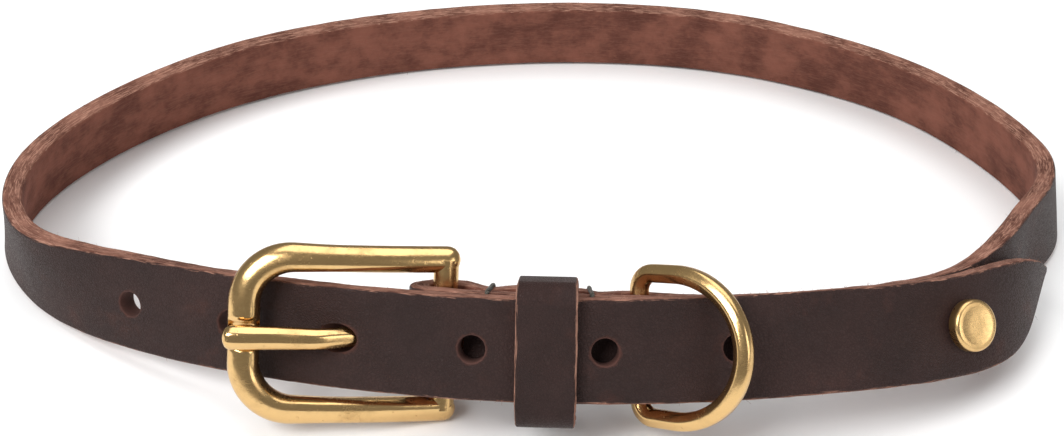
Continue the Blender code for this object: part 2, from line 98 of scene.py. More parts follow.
FRONT_BAR_SWELL = 1.18
FRAME_CORNER = 0.0075
FRAME_ARCH = 0.0012
RAIL_PAST_BAR = 0.0022
NOTCH_DEPTH = 0.0007
FRONT_BAR_LIFT = 0.0014
PRONG_DIAMETER = 0.0034
PRONG_TIP_SWELL = 1.12
PRONG_OVERHANG = 0.0030
EYE_WALL = 0.0013
EYE_WIDTH = 0.0040
FOLD_SLOT_WIDTH = 0.0050
KEEPER_WIDTH = 0.0092
KEEPER_THICK = 0.0018
KEEPER_SLACK_TOP = 0.0008
KEEPER_SLACK_BOTTOM = 0.0020
KEEPER_CORNER = 0.0014
KEEPER_EASE = 0.0007
D_WIRE = 0.0030
D_HEIGHT = 0.0257
D_REACH = 0.0222
D_STRAIGHT_SHARE = 0.36
D_TILT = 46.0
STUD_DIAMETER = 0.0084
STUD_HEIGHT = 0.0022
STUD_SHANK_DIAMETER = 0.0030
STUD_BACK_DIAMETER = 0.0062
STUD_BACK_THICK = 0.0008

LAYER = STRAP_THICK + CLEAR
STUD_LAYER = STRAP_THICK + STUD_BACK_THICK + 2 * CLEAR
BAR_RADIUS = BAR_DIAMETER / 2
FOLD_RADIUS = BAR_RADIUS + CLEAR + STRAP_THICK / 2
BAR_DEPTH = -LAYER - FOLD_RADIUS
D_BAR_DEPTH = -LAYER - STRAP_THICK / 2 - CLEAR - D_WIRE / 2
PINCHED = -LAYER - STRAP_THICK - CLEAR
FACE = STRAP_THICK / 2

# How finely the visible surface is laid out
SECTION_STEP = 0.0009
POINT_STEPS = 34
FOLD_STEPS = 24
FACE_STEPS = 9

# The thread's two plies and the loose fibres
PLY_LAY = 0.0013
PLY_OFFSET_SHARE = 0.24
PLY_RADIUS_SHARE = 0.29
FIBRE_RADIUS = 0.000022
FIBRE_SEED = 11

# The camera
CAMERA_ELEVATION = 34.83
CAMERA_ROLL = 0.021
CAMERA_PLACE = (-0.00495, -0.19600, 0.14045)
SENSOR_WIDTH = 36.0
FOCAL_SHARE_OF_WIDTH = 1234.1 / 1064


# The line that the strap follows


def smooth(share):
    share = min(max(share, 0.0), 1.0)
    return share * share * (3 - 2 * share)


def placed(x, y, z, where):
    """A matrix that has these axes for its columns and stands at a point."""
    matrix = Matrix((x, y, z)).transposed().to_4x4()
    matrix.translation = where
    return matrix


def curve(a, b, c, d, f):
    """A point between b and c, at a share f, on the smooth line through a, b, c and d."""
    return b + 0.5 * f * (c - a + f * (2 * a - 5 * b + 4 * c - d + f * (3 * (b - c) + d - a)))


def along_table(rows, place):
    """The value at a place in (place, value) rows, eased from one row to the next."""
    for (start, first), (end, last) in zip(rows, rows[1:]):
        if place <= end:
            return first + (last - first) * smooth((place - start) / (end - start))
    return rows[-1][1]


class Loop:
    """The closed line that the strap follows, read by the distance along it."""

    def __init__(self):
        table = np.array(LOOP_STATIONS)
        table = table * np.array([LOOP_HALF_WIDTH, LOOP_HALF_DEPTH, math.radians(1), STRAP_WIDTH])
        count = len(table)
        steps = np.arange(count * SAMPLES_A_STATION + 1) / SAMPLES_A_STATION
        whole = np.floor(steps).astype(int)
        part = (steps - whole)[:, None]
        values = curve(*(table[(whole + k) % count] for k in (-1, 0, 1, 2)), part)
        self.place = np.stack([values[:, 0], values[:, 1], values[:, 3]], axis=1)
        self.lean = values[:, 2]
        hops = np.linalg.norm(np.diff(self.place, axis=0), axis=1)
        self.arc = np.concatenate([[0.0], np.cumsum(hops)])
        self.length = self.arc[-1]
        self.steps = steps
        self.shift = Vector()

    def arc_of(self, station):
        return float(np.interp(station, self.steps, self.arc))

    def point(self, distance):
        distance = distance % self.length
        return Vector([float(np.interp(distance, self.arc, self.place[:, k])) for k in range(3)])

    def frame(self, distance):
        """A matrix whose columns run along the strap, up its width and out of its face, at its middle."""
        reach = self.length / 384
        along = (self.point(distance + reach) - self.point(distance - reach)).normalized()
        out = along.cross(Vector((0, 0, 1))).normalized()
        lean = float(np.interp(distance % self.length, self.arc, self.lean))
        up = Vector((0, 0, 1)) * math.cos(lean) + out * math.sin(lean)
        up = (up - along * up.dot(along)).normalized()
        out = along.cross(up).normalized()
        return placed(along, up, out, self.point(distance) + self.shift)


loop = Loop()
BAR_ARC = loop.arc_of(BAR_STATION)


def at_strap(from_bar, depth=0.0):
    """The strap's frame at a distance from the hinge bar, moved out of its face by depth."""
    return loop.frame(BAR_ARC + from_bar) @ Matrix.Translation((0, 0, depth))


def seat_loop():
    """Moves the loop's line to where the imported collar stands, by the middle of its stud."""
    low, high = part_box("stud_back")
    drawn = at_strap(STUD_FROM_BAR, -FACE - CLEAR - STUD_BACK_THICK / 2).translation
    loop.shift = (low + high) / 2 - drawn


def layer_depth(back_from_point):
    """How far in the strap lies once it has gone round and comes back under its own point."""
    rows = (
        (loop.length - DIVE_AFTER_POINT, 0.0),
        (loop.length - DIVE_BEFORE_POINT, -STUD_LAYER),
        (loop.length + POINT_FROM_BAR - STUD_FROM_BAR + 0.006, -STUD_LAYER),
        (loop.length + POINT_FROM_BAR - STUD_FROM_BAR + 0.030, -LAYER),
    )
    return 0.0 if back_from_point < rows[0][0] else along_table(rows, back_from_point)


def turnback_depth(from_bar):
    """The depth of the turnback: pinched at the stitches, bulged over the keeper and the D-ring's bar."""
    over_keeper = -LAYER - STRAP_THICK - KEEPER_THICK - 2 * KEEPER_EASE
    over_ring = PINCHED - D_WIRE - CLEAR
    half_keeper = KEEPER_WIDTH / 2
    rows = (
        (0.0, BAR_DEPTH - FOLD_RADIUS),
        (BAR_RADIUS, BAR_DEPTH - FOLD_RADIUS),
        (FIRST_STITCH_FROM_BAR, PINCHED),
        (KEEPER_FROM_BAR - half_keeper - 4 * CLEAR, over_keeper),
        (KEEPER_FROM_BAR + half_keeper + 4 * CLEAR, over_keeper),
        (SECOND_STITCH_FROM_BAR + 6 * CLEAR, PINCHED),
        (D_RING_FROM_BAR - D_WIRE * 0.4, over_ring),
        (D_RING_FROM_BAR + D_WIRE * 0.4, over_ring),
        (D_RING_FROM_BAR + D_WIRE * 3.6, PINCHED),
        (TURNBACK_LENGTH, PINCHED),
    )
    return along_table(rows, from_bar)


def strap_sections(step):
    """(travel, matrix, half width, share of thickness) from the free end's point to the turnback's end."""
    sections = []
    half = STRAP_WIDTH / 2
    for k in range(POINT_STEPS):
        share = math.sin(math.pi / 2 * (k + 0.06) / POINT_STEPS)
        wide = (1 - (1 - share) ** 2) ** POINT_BLUNTNESS
        wide = max(wide, 0.10)
        travel = share * POINT_LENGTH
        sections.append((travel, at_strap(POINT_FROM_BAR - travel), half * wide, 1.0))
    run = loop.length + POINT_FROM_BAR
    count = round((run - POINT_LENGTH) / step)
    for k in range(1, count + 1):
        travel = POINT_LENGTH + (run - POINT_LENGTH) * k / count
        sections.append((travel, at_strap(POINT_FROM_BAR - travel, layer_depth(travel)), half, 1.0))
    bar = at_strap(0.0, BAR_DEPTH)
    for k in range(1, FOLD_STEPS):
        turn = Matrix.Rotation(-math.pi * k / FOLD_STEPS, 4, "Y")
        travel = run + math.pi * FOLD_RADIUS * k / FOLD_STEPS
        sections.append((travel, bar @ turn @ Matrix.Translation((0, 0, FOLD_RADIUS)), half, 1.0))
    run += math.pi * FOLD_RADIUS
    turn_steps = round(TURNBACK_LENGTH / step)
    for k in range(turn_steps + 1):
        place = TURNBACK_LENGTH * k / turn_steps
        left = TURNBACK_LENGTH - place
        share = SKIVE_LEFT + (1 - SKIVE_LEFT) * min(left / SKIVE_LENGTH, 1.0)
        depth = turnback_depth(place) + STRAP_THICK * (1 - share) / 2
        turned = at_strap(place, depth) @ Matrix.Rotation(math.pi, 4, "Y")
        sections.append((run + place, turned, half, share))
    return sections


# Skins, and the pieces made from them


def sweep(bm, frames, rings, marks=None, closed=False):
    """Skins rings of (across, out) points that stand in the frames.

    marks, where given, holds a (place, layer) pair of UVs for each station and ring point, the last ones
    repeating the first at their far end.
    """
    spans = len(frames) if closed else len(frames) - 1
    around = len(rings[0])
    verts = bmesh.ops.create_grid(bm, x_segments=spans, y_segments=around, size=1)["verts"]
    index = {}
    for vert in verts:
        i = round((vert.co.x + 1) / 2 * spans)
        j = round((vert.co.y + 1) / 2 * around)
        index[vert] = (i, j)
        across, out = rings[i % len(frames)][j % around]
        vert.co = frames[i % len(frames)] @ Vector((0, across, out))
    if marks:
        place_layer = bm.loops.layers.uv.get("place") or bm.loops.layers.uv.new("place")
        side_layer = bm.loops.layers.uv.get("side") or bm.loops.layers.uv.new("side")
        for face in {face for vert in verts for face in vert.link_faces}:
            for corner in face.loops:
                place, side = marks(*index[corner.vert])
                corner[place_layer].uv = place
                corner[side_layer].uv = side
    bmesh.ops.remove_doubles(bm, verts=verts, dist=1e-7)
    rims = [edge for edge in bm.edges if edge.is_boundary]
    if rims:
        bmesh.ops.holes_fill(bm, edges=rims, sides=0)


def wire_frames(points, side, closed=False):
    """A frame at each point: along the line, across it in the plane that side stands on, and along side."""
    frames = []
    for k, point in enumerate(points):
        ahead = points[(k + 1) % len(points)] if closed else points[min(k + 1, len(points) - 1)]
        behind = points[k - 1] if closed or k else points[0]
        along = (ahead - behind).normalized()
        across = side.cross(along).normalized()
        frames.append(placed(along, across, along.cross(across), point))
    return frames


def round_ring(radius, sides, flatten=1.0):
    turns = [2 * math.pi * k / sides for k in range(sides)]
    return [(radius * math.cos(turn), radius * flatten * math.sin(turn)) for turn in turns]


def smooth_line(points, steps):
    """Points on a smooth line through the given ones."""
    line = []
    ends = [points[0] * 2 - points[1], *points, points[-1] * 2 - points[-2]]
    for a, b, c, d in zip(ends, ends[1:], ends[2:], ends[3:]):
        line += [curve(a, b, c, d, k / steps) for k in range(steps)]
    return [*line, points[-1]]


def smooth_ring(corners, steps):
    """A closed ring of points on a smooth line through the corners, which are (across, out) pairs."""
    ring = [Vector(corner) for corner in corners]
    line = []
    for k in range(len(ring)):
        near = [ring[(k + n) % len(ring)] for n in (-1, 0, 1, 2)]
        line += [curve(*near, step / steps) for step in range(steps)]
    return [tuple(point) for point in line]


def turned_on(bm, profile, matrix, steps):
    """Turns a profile of (radius, height) pairs about the matrix's third axis."""
    verts = [bm.verts.new((radius, 0, height)) for radius, height in profile]
    edges = [bm.edges.new(pair) for pair in zip(verts, verts[1:])]
    about = {"cent": (0, 0, 0), "axis": (0, 0, 1), "angle": 2 * math.pi}
    bmesh.ops.spin(bm, geom=verts + edges, steps=steps, use_merge=True, **about)
    bmesh.ops.remove_doubles(bm, verts=bm.verts, dist=1e-7)
    bmesh.ops.transform(bm, matrix=matrix, verts=bm.verts)


def new_object(name, bm, materials):
    """An object from a bmesh, its faces turned outwards and shaded smooth."""
    bmesh.ops.recalc_face_normals(bm, faces=bm.faces)
    mesh = bpy.data.meshes.new(name)
    bm.to_mesh(mesh)
    bm.free()
    obj = bpy.data.objects.new(name, mesh)
    bpy.context.scene.collection.objects.link(obj)
    for material in materials:
        mesh.materials.append(material)
    mesh.shade_smooth()
    return obj


def hand_over(obj, body, nodes=(), sharp=None):
    """Puts a finished piece on its body, in the place of the nodes that it stands for."""
    if sharp:
        obj.data.set_sharp_from_angle(angle=math.radians(sharp))
    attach(obj, body)
    if nodes:
        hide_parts(*nodes)
    return obj


def cut(obj, cutters):
    """Cuts the cutters out of the object for good and removes them."""
    group = bpy.data.collections.new("cutters")
    for cutter in cutters:
        group.objects.link(cutter)
    modifier = obj.modifiers.new("Punch", "BOOLEAN")
    modifier.operation = "DIFFERENCE"
    modifier.solver = "EXACT"
    modifier.material_mode = "TRANSFER"
    modifier.operand_type = "COLLECTION"
    modifier.collection = group
    bpy.context.view_layer.update()
    graph = bpy.context.evaluated_depsgraph_get()
    mesh = bpy.data.meshes.new_from_object(obj.evaluated_get(graph))
    obj.modifiers.clear()
    old = obj.data
    obj.data = mesh
    bpy.data.meshes.remove(old)
    for cutter in cutters:
        bpy.data.objects.remove(cutter)
    bpy.data.collections.remove(group)


def leather_ring(half, thick, corner, face_steps):
    """A cut strip's outline from its lower edge round: (across, out, flesh share, edge share)."""
    half_thick = thick / 2
    corner = min(corner, half * 0.6, half_thick * 0.8)
    quarter = []
    for k in range(1, 4):
        quarter.append((half, (half_thick - corner) * k / 4, 1.0))
    for k in range(6):
        turn = math.pi / 2 * k / 5
        edge = 1.0 - 0.75 * k / 5
        rise = half_thick - corner + corner * math.sin(turn)
        quarter.append((half - corner + corner * math.cos(turn), rise, edge))
    flat = half - corner
    for k in range(1, face_steps + 1):
        place = flat * (1 - (k / face_steps) ** 0.8)
        quarter.append((place, half_thick, 0.25 * max(0.0, 1 - (flat - place) / 0.0006)))
    outer = [(-y, z, e) for y, z, e in [(half, 0.0, 1.0), *quarter]]
    outer += [(y, z, e) for y, z, e in reversed([(half, 0.0, 1.0), *quarter[:-1]])]
    inner = [(y, -z, e) for y, z, e in reversed(outer[1:-1])]
    return [(y, z, 0.5 - z / thick, e) for y, z, e in outer + inner]


# Nodes for the finishes


def feed(tree, node, inputs):
    """Links the node's inputs where a socket is given, and sets them otherwise."""
    for name, value in inputs.items():
        if isinstance(value, bpy.types.NodeSocket):
            tree.links.new(value, node.inputs[name])
        else:
            node.inputs[name].default_value = value
    return node


def add_node(tree, kind, inputs=(), **settings):
    """A node with its settings made and its inputs fed."""
    made = tree.nodes.new("ShaderNode" + kind)
    for name, value in settings.items():
        setattr(made, name, value)
    return feed(tree, made, dict(inputs))


def maths(tree, operation, first, second=0.0, third=0.0, clamp=False):
    values = {0: first, 1: second}
    if operation in ("MULTIPLY_ADD", "WRAP"):
        values[2] = third
    return add_node(tree, "Math", values, operation=operation, use_clamp=clamp).outputs[0]


def times(tree, first, second):
    return maths(tree, "MULTIPLY", first, second)


def plus(tree, first, second, clamp=False):
    return maths(tree, "ADD", first, second, clamp=clamp)


def mixed(tree, factor, first, second, blend="MIX"):
    made = add_node(tree, "Mix", {0: factor, 6: first, 7: second}, data_type="RGBA", blend_type=blend)
    return made.outputs[2]


def spread(tree, value, low, high, to_low=0.0, to_high=1.0):
    """The value's range from low to high stretched to another, eased and clamped."""
    inputs = {"Value": value, "From Min": low, "From Max": high, "To Min": to_low, "To Max": to_high}
    return add_node(tree, "MapRange", inputs, interpolation_type="SMOOTHSTEP").outputs["Result"]


def noise_at(tree, place, scale, detail=3.0, roughness=0.55, distortion=0.0):
    inputs = {"Vector": place, "Scale": scale, "Detail": detail, "Roughness": roughness}
    return add_node(tree, "TexNoise", {**inputs, "Distortion": distortion}).outputs["Fac"]


def stretched(tree, place, x, y, z):
    return add_node(tree, "VectorMath", {0: place, 1: (x, y, z)}, operation="MULTIPLY").outputs[0]


def new_group(name, setting, outputs):
    """An empty node group with a place and one (name, value) setting, its input and its output sockets."""
    group = bpy.data.node_groups.new(name, "ShaderNodeTree")
    group.interface.new_socket("Place", in_out="INPUT", socket_type="NodeSocketVector")
    label, default = setting
    group.interface.new_socket(label, in_out="INPUT", socket_type="NodeSocketFloat").default_value = default
    for label in outputs:
        group.interface.new_socket(label, in_out="OUTPUT", socket_type="NodeSocketFloat")
    source = group.nodes.new("NodeGroupInput")
    sink = group.nodes.new("NodeGroupOutput")
    return group, source.outputs, sink.inputs


def use_group(tree, group, **inputs):
    made = tree.nodes.new("ShaderNodeGroup")
    made.node_tree = group
    return feed(tree, made, inputs).outputs


def pebbled_grain():
    """The tanned outer face: small pebbles, the creases between them, pores and slow changes of tone."""
    tree, given, out = new_group("pebbled_grain", ("Size", 0.0009), ("Height", "Crease", "Tone"))
    link = tree.links.new
    scale = maths(tree, "DIVIDE", 1.0, given["Size"])
    bent = add_node(tree, "TexNoise", {"Vector": given["Place"], "Scale": 420.0, "Detail": 2.0})
    warp = stretched(tree, bent.outputs["Color"], 0.0009, 0.0009, 0.0009)
    place = add_node(tree, "VectorMath", {0: given["Place"], 1: warp}, operation="ADD").outputs[0]
    cells = add_node(tree, "TexVoronoi", {"Vector": place, "Scale": scale}, feature="DISTANCE_TO_EDGE")
    pebble = spread(tree, cells.outputs["Distance"], 0.0, 0.22)
    small_scale = times(tree, scale, 2.3)
    small = add_node(tree, "TexVoronoi", {"Vector": place, "Scale": small_scale}, feature="DISTANCE_TO_EDGE")
    small_pebble = spread(tree, small.outputs["Distance"], 0.0, 0.25)
    patch = spread(tree, noise_at(tree, given["Place"], 90.0, 3.0), 0.38, 0.66)
    fine = noise_at(tree, given["Place"], 6500.0, 3.0, 0.6)
    pores = spread(tree, noise_at(tree, given["Place"], 2300.0, 1.0), 0.30, 0.40)
    blend = times(tree, pebble, maths(tree, "MULTIPLY_ADD", patch, 0.55, 0.25))
    blend = plus(tree, blend, times(tree, small_pebble, 0.28))
    blend = plus(tree, blend, times(tree, fine, 0.16))
    link(plus(tree, blend, times(tree, pores, 0.22)), out["Height"])
    link(maths(tree, "SUBTRACT", 1.0, times(tree, pebble, pores)), out["Crease"])
    link(noise_at(tree, given["Place"], 55.0, 5.0, 0.62), out["Tone"])
    return tree


def leather_fibres():
    """Torn fibre, drawn out along the strap, as on a cut edge and on the flesh side's nap."""
    tree, given, out = new_group("leather_fibres", ("Scale", 1800.0), ("Height", "Strands", "Tone"))
    link = tree.links.new
    drawn = stretched(tree, given["Place"], 0.42, 1.0, 1.0)
    loose = noise_at(tree, drawn, given["Scale"], 5.0, 0.68, 0.8)
    coarse = noise_at(tree, given["Place"], times(tree, given["Scale"], 0.32), 4.0, 0.6)
    layered = stretched(tree, given["Place"], 0.12, 1.0, 1.6)
    strands = noise_at(tree, layered, times(tree, given["Scale"], 1.4), 3.0, 0.6, 1.2)
    link(times(tree, plus(tree, loose, coarse), 0.6), out["Height"])
    link(spread(tree, strands, 0.45, 0.66), out["Strands"])
    link(noise_at(tree, given["Place"], 120.0, 4.0, 0.65), out["Tone"])
    return tree


def rim_wear():
    """How near a point of the strap is to the rim of a punched hole, from 0 to 1."""
    tree, given, out = new_group("rim_wear", ("Reach", 0.0012), ("Mask",))
    first = POINT_FROM_BAR + PRONG_HOLE_FROM_BAR - HOLES_PAST_PRONG * HOLE_PITCH
    last = POINT_FROM_BAR + PRONG_HOLE_FROM_BAR + HOLES_BEFORE_PRONG * HOLE_PITCH
    parts = add_node(tree, "SeparateXYZ", {0: given["Place"]}).outputs
    half = HOLE_PITCH / 2
    wrapped = maths(tree, "WRAP", maths(tree, "SUBTRACT", parts["X"], first), half, -half)
    squares = times(tree, wrapped, wrapped)
    squares = plus(tree, squares, times(tree, parts["Y"], parts["Y"]))
    away = maths(tree, "SUBTRACT", maths(tree, "POWER", squares, 0.5), HOLE_DIAMETER / 2)
    rough = noise_at(tree, given["Place"], 900.0, 3.0)
    away = plus(tree, away, maths(tree, "MULTIPLY_ADD", rough, 0.0010, -0.0005))
    near = maths(tree, "SUBTRACT", 1.0, maths(tree, "DIVIDE", away, given["Reach"]), clamp=True)
    after = maths(tree, "GREATER_THAN", parts["X"], first - half)
    before = maths(tree, "LESS_THAN", parts["X"], last + half)
    tree.links.new(times(tree, near, times(tree, after, before)), out["Mask"])
    return tree


def cast_metal():
    """Cast brass: hairline rubbing, shallow pits and clouds of tarnish."""
    tree, given, out = new_group("cast_metal", ("Pitting", 0.5), ("Height", "Tarnish", "Polish"))
    link = tree.links.new
    waves = noise_at(tree, given["Place"], 260.0, 3.0, 0.5)
    grit = noise_at(tree, given["Place"], 2600.0, 3.0, 0.6)
    pits = spread(tree, noise_at(tree, given["Place"], 1500.0, 2.0, 0.55), 0.24, 0.36)
    height = maths(tree, "MULTIPLY_ADD", pits, given["Pitting"], times(tree, waves, 0.9))
    link(plus(tree, height, times(tree, grit, 0.10)), out["Height"])
    clouds = noise_at(tree, given["Place"], 170.0, 5.0, 0.65)
    pitted = maths(tree, "MULTIPLY_ADD", pits, -0.5, 0.5)
    tarnish = plus(tree, spread(tree, clouds, 0.45, 0.80), pitted, clamp=True)
    link(tarnish, out["Tarnish"])
    rubbed = noise_at(tree, stretched(tree, given["Place"], 1.0, 1.0, 6.0), 900.0, 4.0, 0.7)
    link(spread(tree, rubbed, 0.3, 0.7), out["Polish"])
    return tree


def new_material(name):
    material = bpy.data.materials.new(name)
    material.use_nodes = True
    tree = material.node_tree
    return material, tree, tree.nodes["Principled BSDF"]


def colour(values):
    return (*values[:3], 1.0)


def finish(tree, shader, base, roughness, height, depth, strength):
    """Feeds the shader its base colour and roughness, and the bump of a height."""
    bump = add_node(tree, "Bump", {"Height": height, "Distance": depth, "Strength": strength})
    feed(tree, shader, {"Base Color": base, "Roughness": roughness, "Normal": bump.outputs["Normal"]})


# Finishes


def leather_material(name, look, edge_colour, size):
    """Oiled leather: pebbled outside, napped flesh inside, and raw fibre where it is cut."""
    material, tree, shader = new_material(name)
    place = add_node(tree, "UVMap", uv_map="place").outputs["UV"]
    side = add_node(tree, "SeparateXYZ", {0: add_node(tree, "UVMap", uv_map="side").outputs["UV"]}).outputs
    through = add_node(tree, "CombineXYZ", {"Z": times(tree, side["X"], STRAP_THICK)}).outputs[0]
    place = add_node(tree, "VectorMath", {0: place, 1: through}, operation="ADD").outputs[0]
    grain = use_group(tree, GROUPS["grain"], Place=place, Size=size)
    fibre = use_group(tree, GROUPS["fibres"], Place=place, Scale=1900.0)
    rims = use_group(tree, GROUPS["rims"], Place=place, Reach=0.0008)["Mask"]
    broken = maths(tree, "MULTIPLY_ADD", fibre["Tone"], 0.8, -0.55)
    broken = maths(tree, "MULTIPLY_ADD", fibre["Strands"], 0.55, broken)
    cut_share = spread(tree, plus(tree, side["Y"], times(tree, broken, 0.45)), 0.42, 0.80)
    rough_side = maths(tree, "MULTIPLY_ADD", fibre["Height"], 0.35, -0.21)
    flesh_share = spread(tree, plus(tree, side["X"], rough_side), 0.72, 0.95)

    tone = spread(tree, grain["Tone"], 0.32, 0.72)
    tanned = mixed(tree, tone, colour(look.grain_dark), colour(look.grain_light))
    tanned = mixed(tree, times(tree, grain["Crease"], 0.35), tanned, colour(look.crease))
    scuffed = times(tree, spread(tree, fibre["Tone"], 0.55, 0.75), 0.22)
    tanned = mixed(tree, scuffed, tanned, colour(look.worn))
    rubbed = times(tree, spread(tree, rims, 0.35, 1.0), 0.50)
    tanned = mixed(tree, rubbed, tanned, colour(look.worn))
    tone = spread(tree, fibre["Tone"], 0.30, 0.70)
    flesh = mixed(tree, tone, colour(look.flesh_dark), colour(look.flesh_light))
    flesh = mixed(tree, times(tree, fibre["Strands"], 0.28), flesh, colour(edge_colour))
    raw = mixed(tree, spread(tree, fibre["Tone"], 0.35, 0.68), colour(look.edge_dark), colour(edge_colour))
    raw = mixed(tree, times(tree, fibre["Strands"], 0.75), raw, colour(look.edge_light))
    shown = mixed(tree, cut_share, mixed(tree, flesh_share, tanned, flesh), raw)

    dull = plus(tree, flesh_share, cut_share, clamp=True)
    gloss = maths(tree, "MULTIPLY_ADD", grain["Tone"], 0.22, 0.34)
    gloss = plus(tree, gloss, times(tree, grain["Crease"], 0.18))
    rough = plus(tree, times(tree, dull, 0.55), gloss, clamp=True)
    shader.inputs["Specular IOR Level"].default_value = 0.22
    shader.inputs["Sheen Weight"].default_value = 0.03
    shader.inputs["Sheen Roughness"].default_value = 0.5
    shader.inputs["Sheen Tint"].default_value = (0.75, 0.52, 0.44, 1.0)

    smooth_part = times(tree, grain["Height"], maths(tree, "SUBTRACT", 1.0, dull, clamp=True))
    fibre_part = times(tree, fibre["Height"], maths(tree, "MULTIPLY_ADD", dull, 1.9, 0.15))
    height = plus(tree, smooth_part, fibre_part)
    finish(tree, shader, shown, rough, height, 0.00011, 0.85)
    return material


def shaded_hole_material(name, look):
    """The wall of a punched hole: raw fibre, with the shade inside the hole painted into its dark tone."""
    material, tree, shader = new_material(name)
    place = add_node(tree, "TexCoord").outputs["Object"]
    fibre = use_group(tree, GROUPS["fibres"], Place=place, Scale=2400.0)
    # Painted shade: the wall takes the dark grain and dark flesh tones, far darker than the strap's cut
    # edges, as the shade inside a hole
    base = mixed(tree, fibre["Tone"], colour(look.grain_dark), colour(look.flesh_dark))
    shown = mixed(tree, times(tree, fibre["Strands"], 0.4), base, colour(look.worn))
    finish(tree, shader, shown, 0.85, fibre["Height"], 0.00015, 0.8)
    return material


def brass_material(name, look, pitting, roughness):
    """Solid brass, cast and tumbled, with tarnish in its pits."""
    material, tree, shader = new_material(name)
    place = add_node(tree, "TexCoord").outputs["Object"]
    metal = use_group(tree, GROUPS["metal"], Place=place, Pitting=pitting)
    stain = times(tree, metal["Tarnish"], 0.6)
    base = mixed(tree, stain, colour(look.brass), colour(look.tarnish))
    shader.inputs["Metallic"].default_value = 1.0
    rough = maths(tree, "MULTIPLY_ADD", metal["Tarnish"], 0.20, roughness)
    rough = plus(tree, rough, times(tree, metal["Polish"], 0.06))
    finish(tree, shader, base, rough, metal["Height"], 0.00010, 0.6)
    return material


def thread_material(name, look):
    """Waxed two-ply thread, its fibres along each ply."""
    material, tree, shader = new_material(name)
    place = add_node(tree, "UVMap", uv_map="place").outputs["UV"]
    fibre = noise_at(tree, stretched(tree, place, 0.35, 1.0, 1.0), 5200.0, 4.0, 0.7)
    shown = mixed(tree, spread(tree, fibre, 0.3, 0.7), colour(look.thread_dark), colour(look.thread))
    shader.inputs["Sheen Weight"].default_value = 0.2
    finish(tree, shader, shown, 0.62, fibre, 0.00006, 0.8)
    return material


def fuzz_material(name, look):
    """Loose leather fibre, pale at random."""
    material, tree, shader = new_material(name)
    place = add_node(tree, "TexCoord").outputs["Object"]
    shade = spread(tree, noise_at(tree, place, 700.0, 2.0), 0.35, 0.65)
    shown = mixed(tree, shade, colour(look.edge_dark), colour(look.edge_light))
    feed(tree, shader, {"Base Color": shown, "Roughness": 0.8})
    return material


def floor_material(name, look):
    """A plain matt board."""
    material, tree, shader = new_material(name)
    place = add_node(tree, "TexCoord").outputs["Object"]
    tone = spread(tree, noise_at(tree, place, 14.0, 3.0), 0.2, 0.8)
    pale = [value * 0.985 for value in look.floor[:3]]
    shown = mixed(tree, tone, colour(pale), colour(look.floor))
    feed(tree, shader, {"Base Color": shown, "Roughness": 0.85})
    return material


# What a user would change


def tint(name, description, value):
    return bpy.props.FloatVectorProperty(
        name=name, description=description, default=value, size=3, subtype="COLOR", min=0.0, max=1.0
    )


def span(name, description, value):
    return bpy.props.FloatProperty(name=name, description=description, default=value, unit="LENGTH")


class CollarLook(bpy.types.PropertyGroup):
    """The collar's colours."""

    grain_dark: tint("Dark grain", "The darker tone of the outer face", (0.0215, 0.0092, 0.0078))
    grain_light: tint("Light grain", "The lighter tone of the outer face", (0.0375, 0.0165, 0.0140))
    crease: tint("Crease", "The tone between the grain's pebbles", (0.0100, 0.0040, 0.0033))
    worn: tint("Worn leather", "The reddish tone where the finish is rubbed off", (0.100, 0.032, 0.020))
    flesh_dark: tint("Dark flesh", "The darker tone of the inner face", (0.095, 0.032, 0.022))
    flesh_light: tint("Light flesh", "The lighter tone of the inner face", (0.215, 0.080, 0.054))
    edge_dark: tint("Dark cut edge", "The darker tone of the cut edges", (0.085, 0.031, 0.021))
    edge: tint("Cut edge", "The tone of the cut edges", (0.235, 0.105, 0.073))
    edge_light: tint("Loose fibre", "The tone of the loose fibre on the cut edges", (0.430, 0.230, 0.165))
    brass: tint("Brass", "The tone of the polished brass", (0.690, 0.455, 0.200))
    tarnish: tint("Tarnish", "The tone of the tarnish in the brass's pits", (0.270, 0.150, 0.055))
    thread: tint("Thread", "The lighter tone of the stitches", (0.075, 0.068, 0.050))
    thread_dark: tint("Dark thread", "The darker tone of the stitches", (0.022, 0.019, 0.014))
    floor: tint("Floor", "The tone of the floor", (0.96, 0.96, 0.96))


class CollarShape(bpy.types.PropertyGroup):
    """Sizes of the visible surface that the solids leave out."""

    edge_round: span("Edge rounding", "Radius of the strap's rubbed edges", 0.00055)
    grain_size: span("Grain size", "Width of one pebble of the grain", 0.00048)
    edge_wander: span("Edge unevenness", "How far the cut edges wander", 0.00011)
    rim_flare: span("Hole flare", "How far a hole's rim is worn back", 0.00034)
    thread: span("Thread", "Diameter of the stitching thread", 0.0007)
    fibre_length: span("Fibre length", "Length of the loose fibres", 0.0007)
    fibres: bpy.props.IntProperty(
        name="Fibres", description="How many loose fibres stand on the cut edges", default=900, min=0
    )


GROUPS = {}
FINISHES = {}


class COLLAR_OT_finishes(bpy.types.Operator):
    """Makes the shared node groups and every finish"""

    bl_idname = "collar.finishes"
    bl_label = "Finishes"

    def execute(self, context):
        look = context.scene.collar_look
        GROUPS.update(grain=pebbled_grain(), fibres=leather_fibres(), rims=rim_wear(), metal=cast_metal())
        size = context.scene.collar_shape.grain_size
        FINISHES.update(
            strap=leather_material("strap_leather", look, look.edge, size),
            keeper=leather_material("keeper_leather", look, look.edge_light, size * 0.8),
            # The hole walls' finish carries painted shade in its dark tone
            hole=shaded_hole_material("hole_wall_painted_shade", look),
            buckle=brass_material("buckle_brass", look, 0.16, 0.16),
            ring=brass_material("ring_brass", look, 0.10, 0.17),
            stud=brass_material("stud_brass", look, 0.06, 0.24),
            thread=thread_material("waxed_thread", look),
            fuzz=fuzz_material("loose_fibre", look),
            floor=floor_material("floor_board", look),
        )
        return {"FINISHED"}


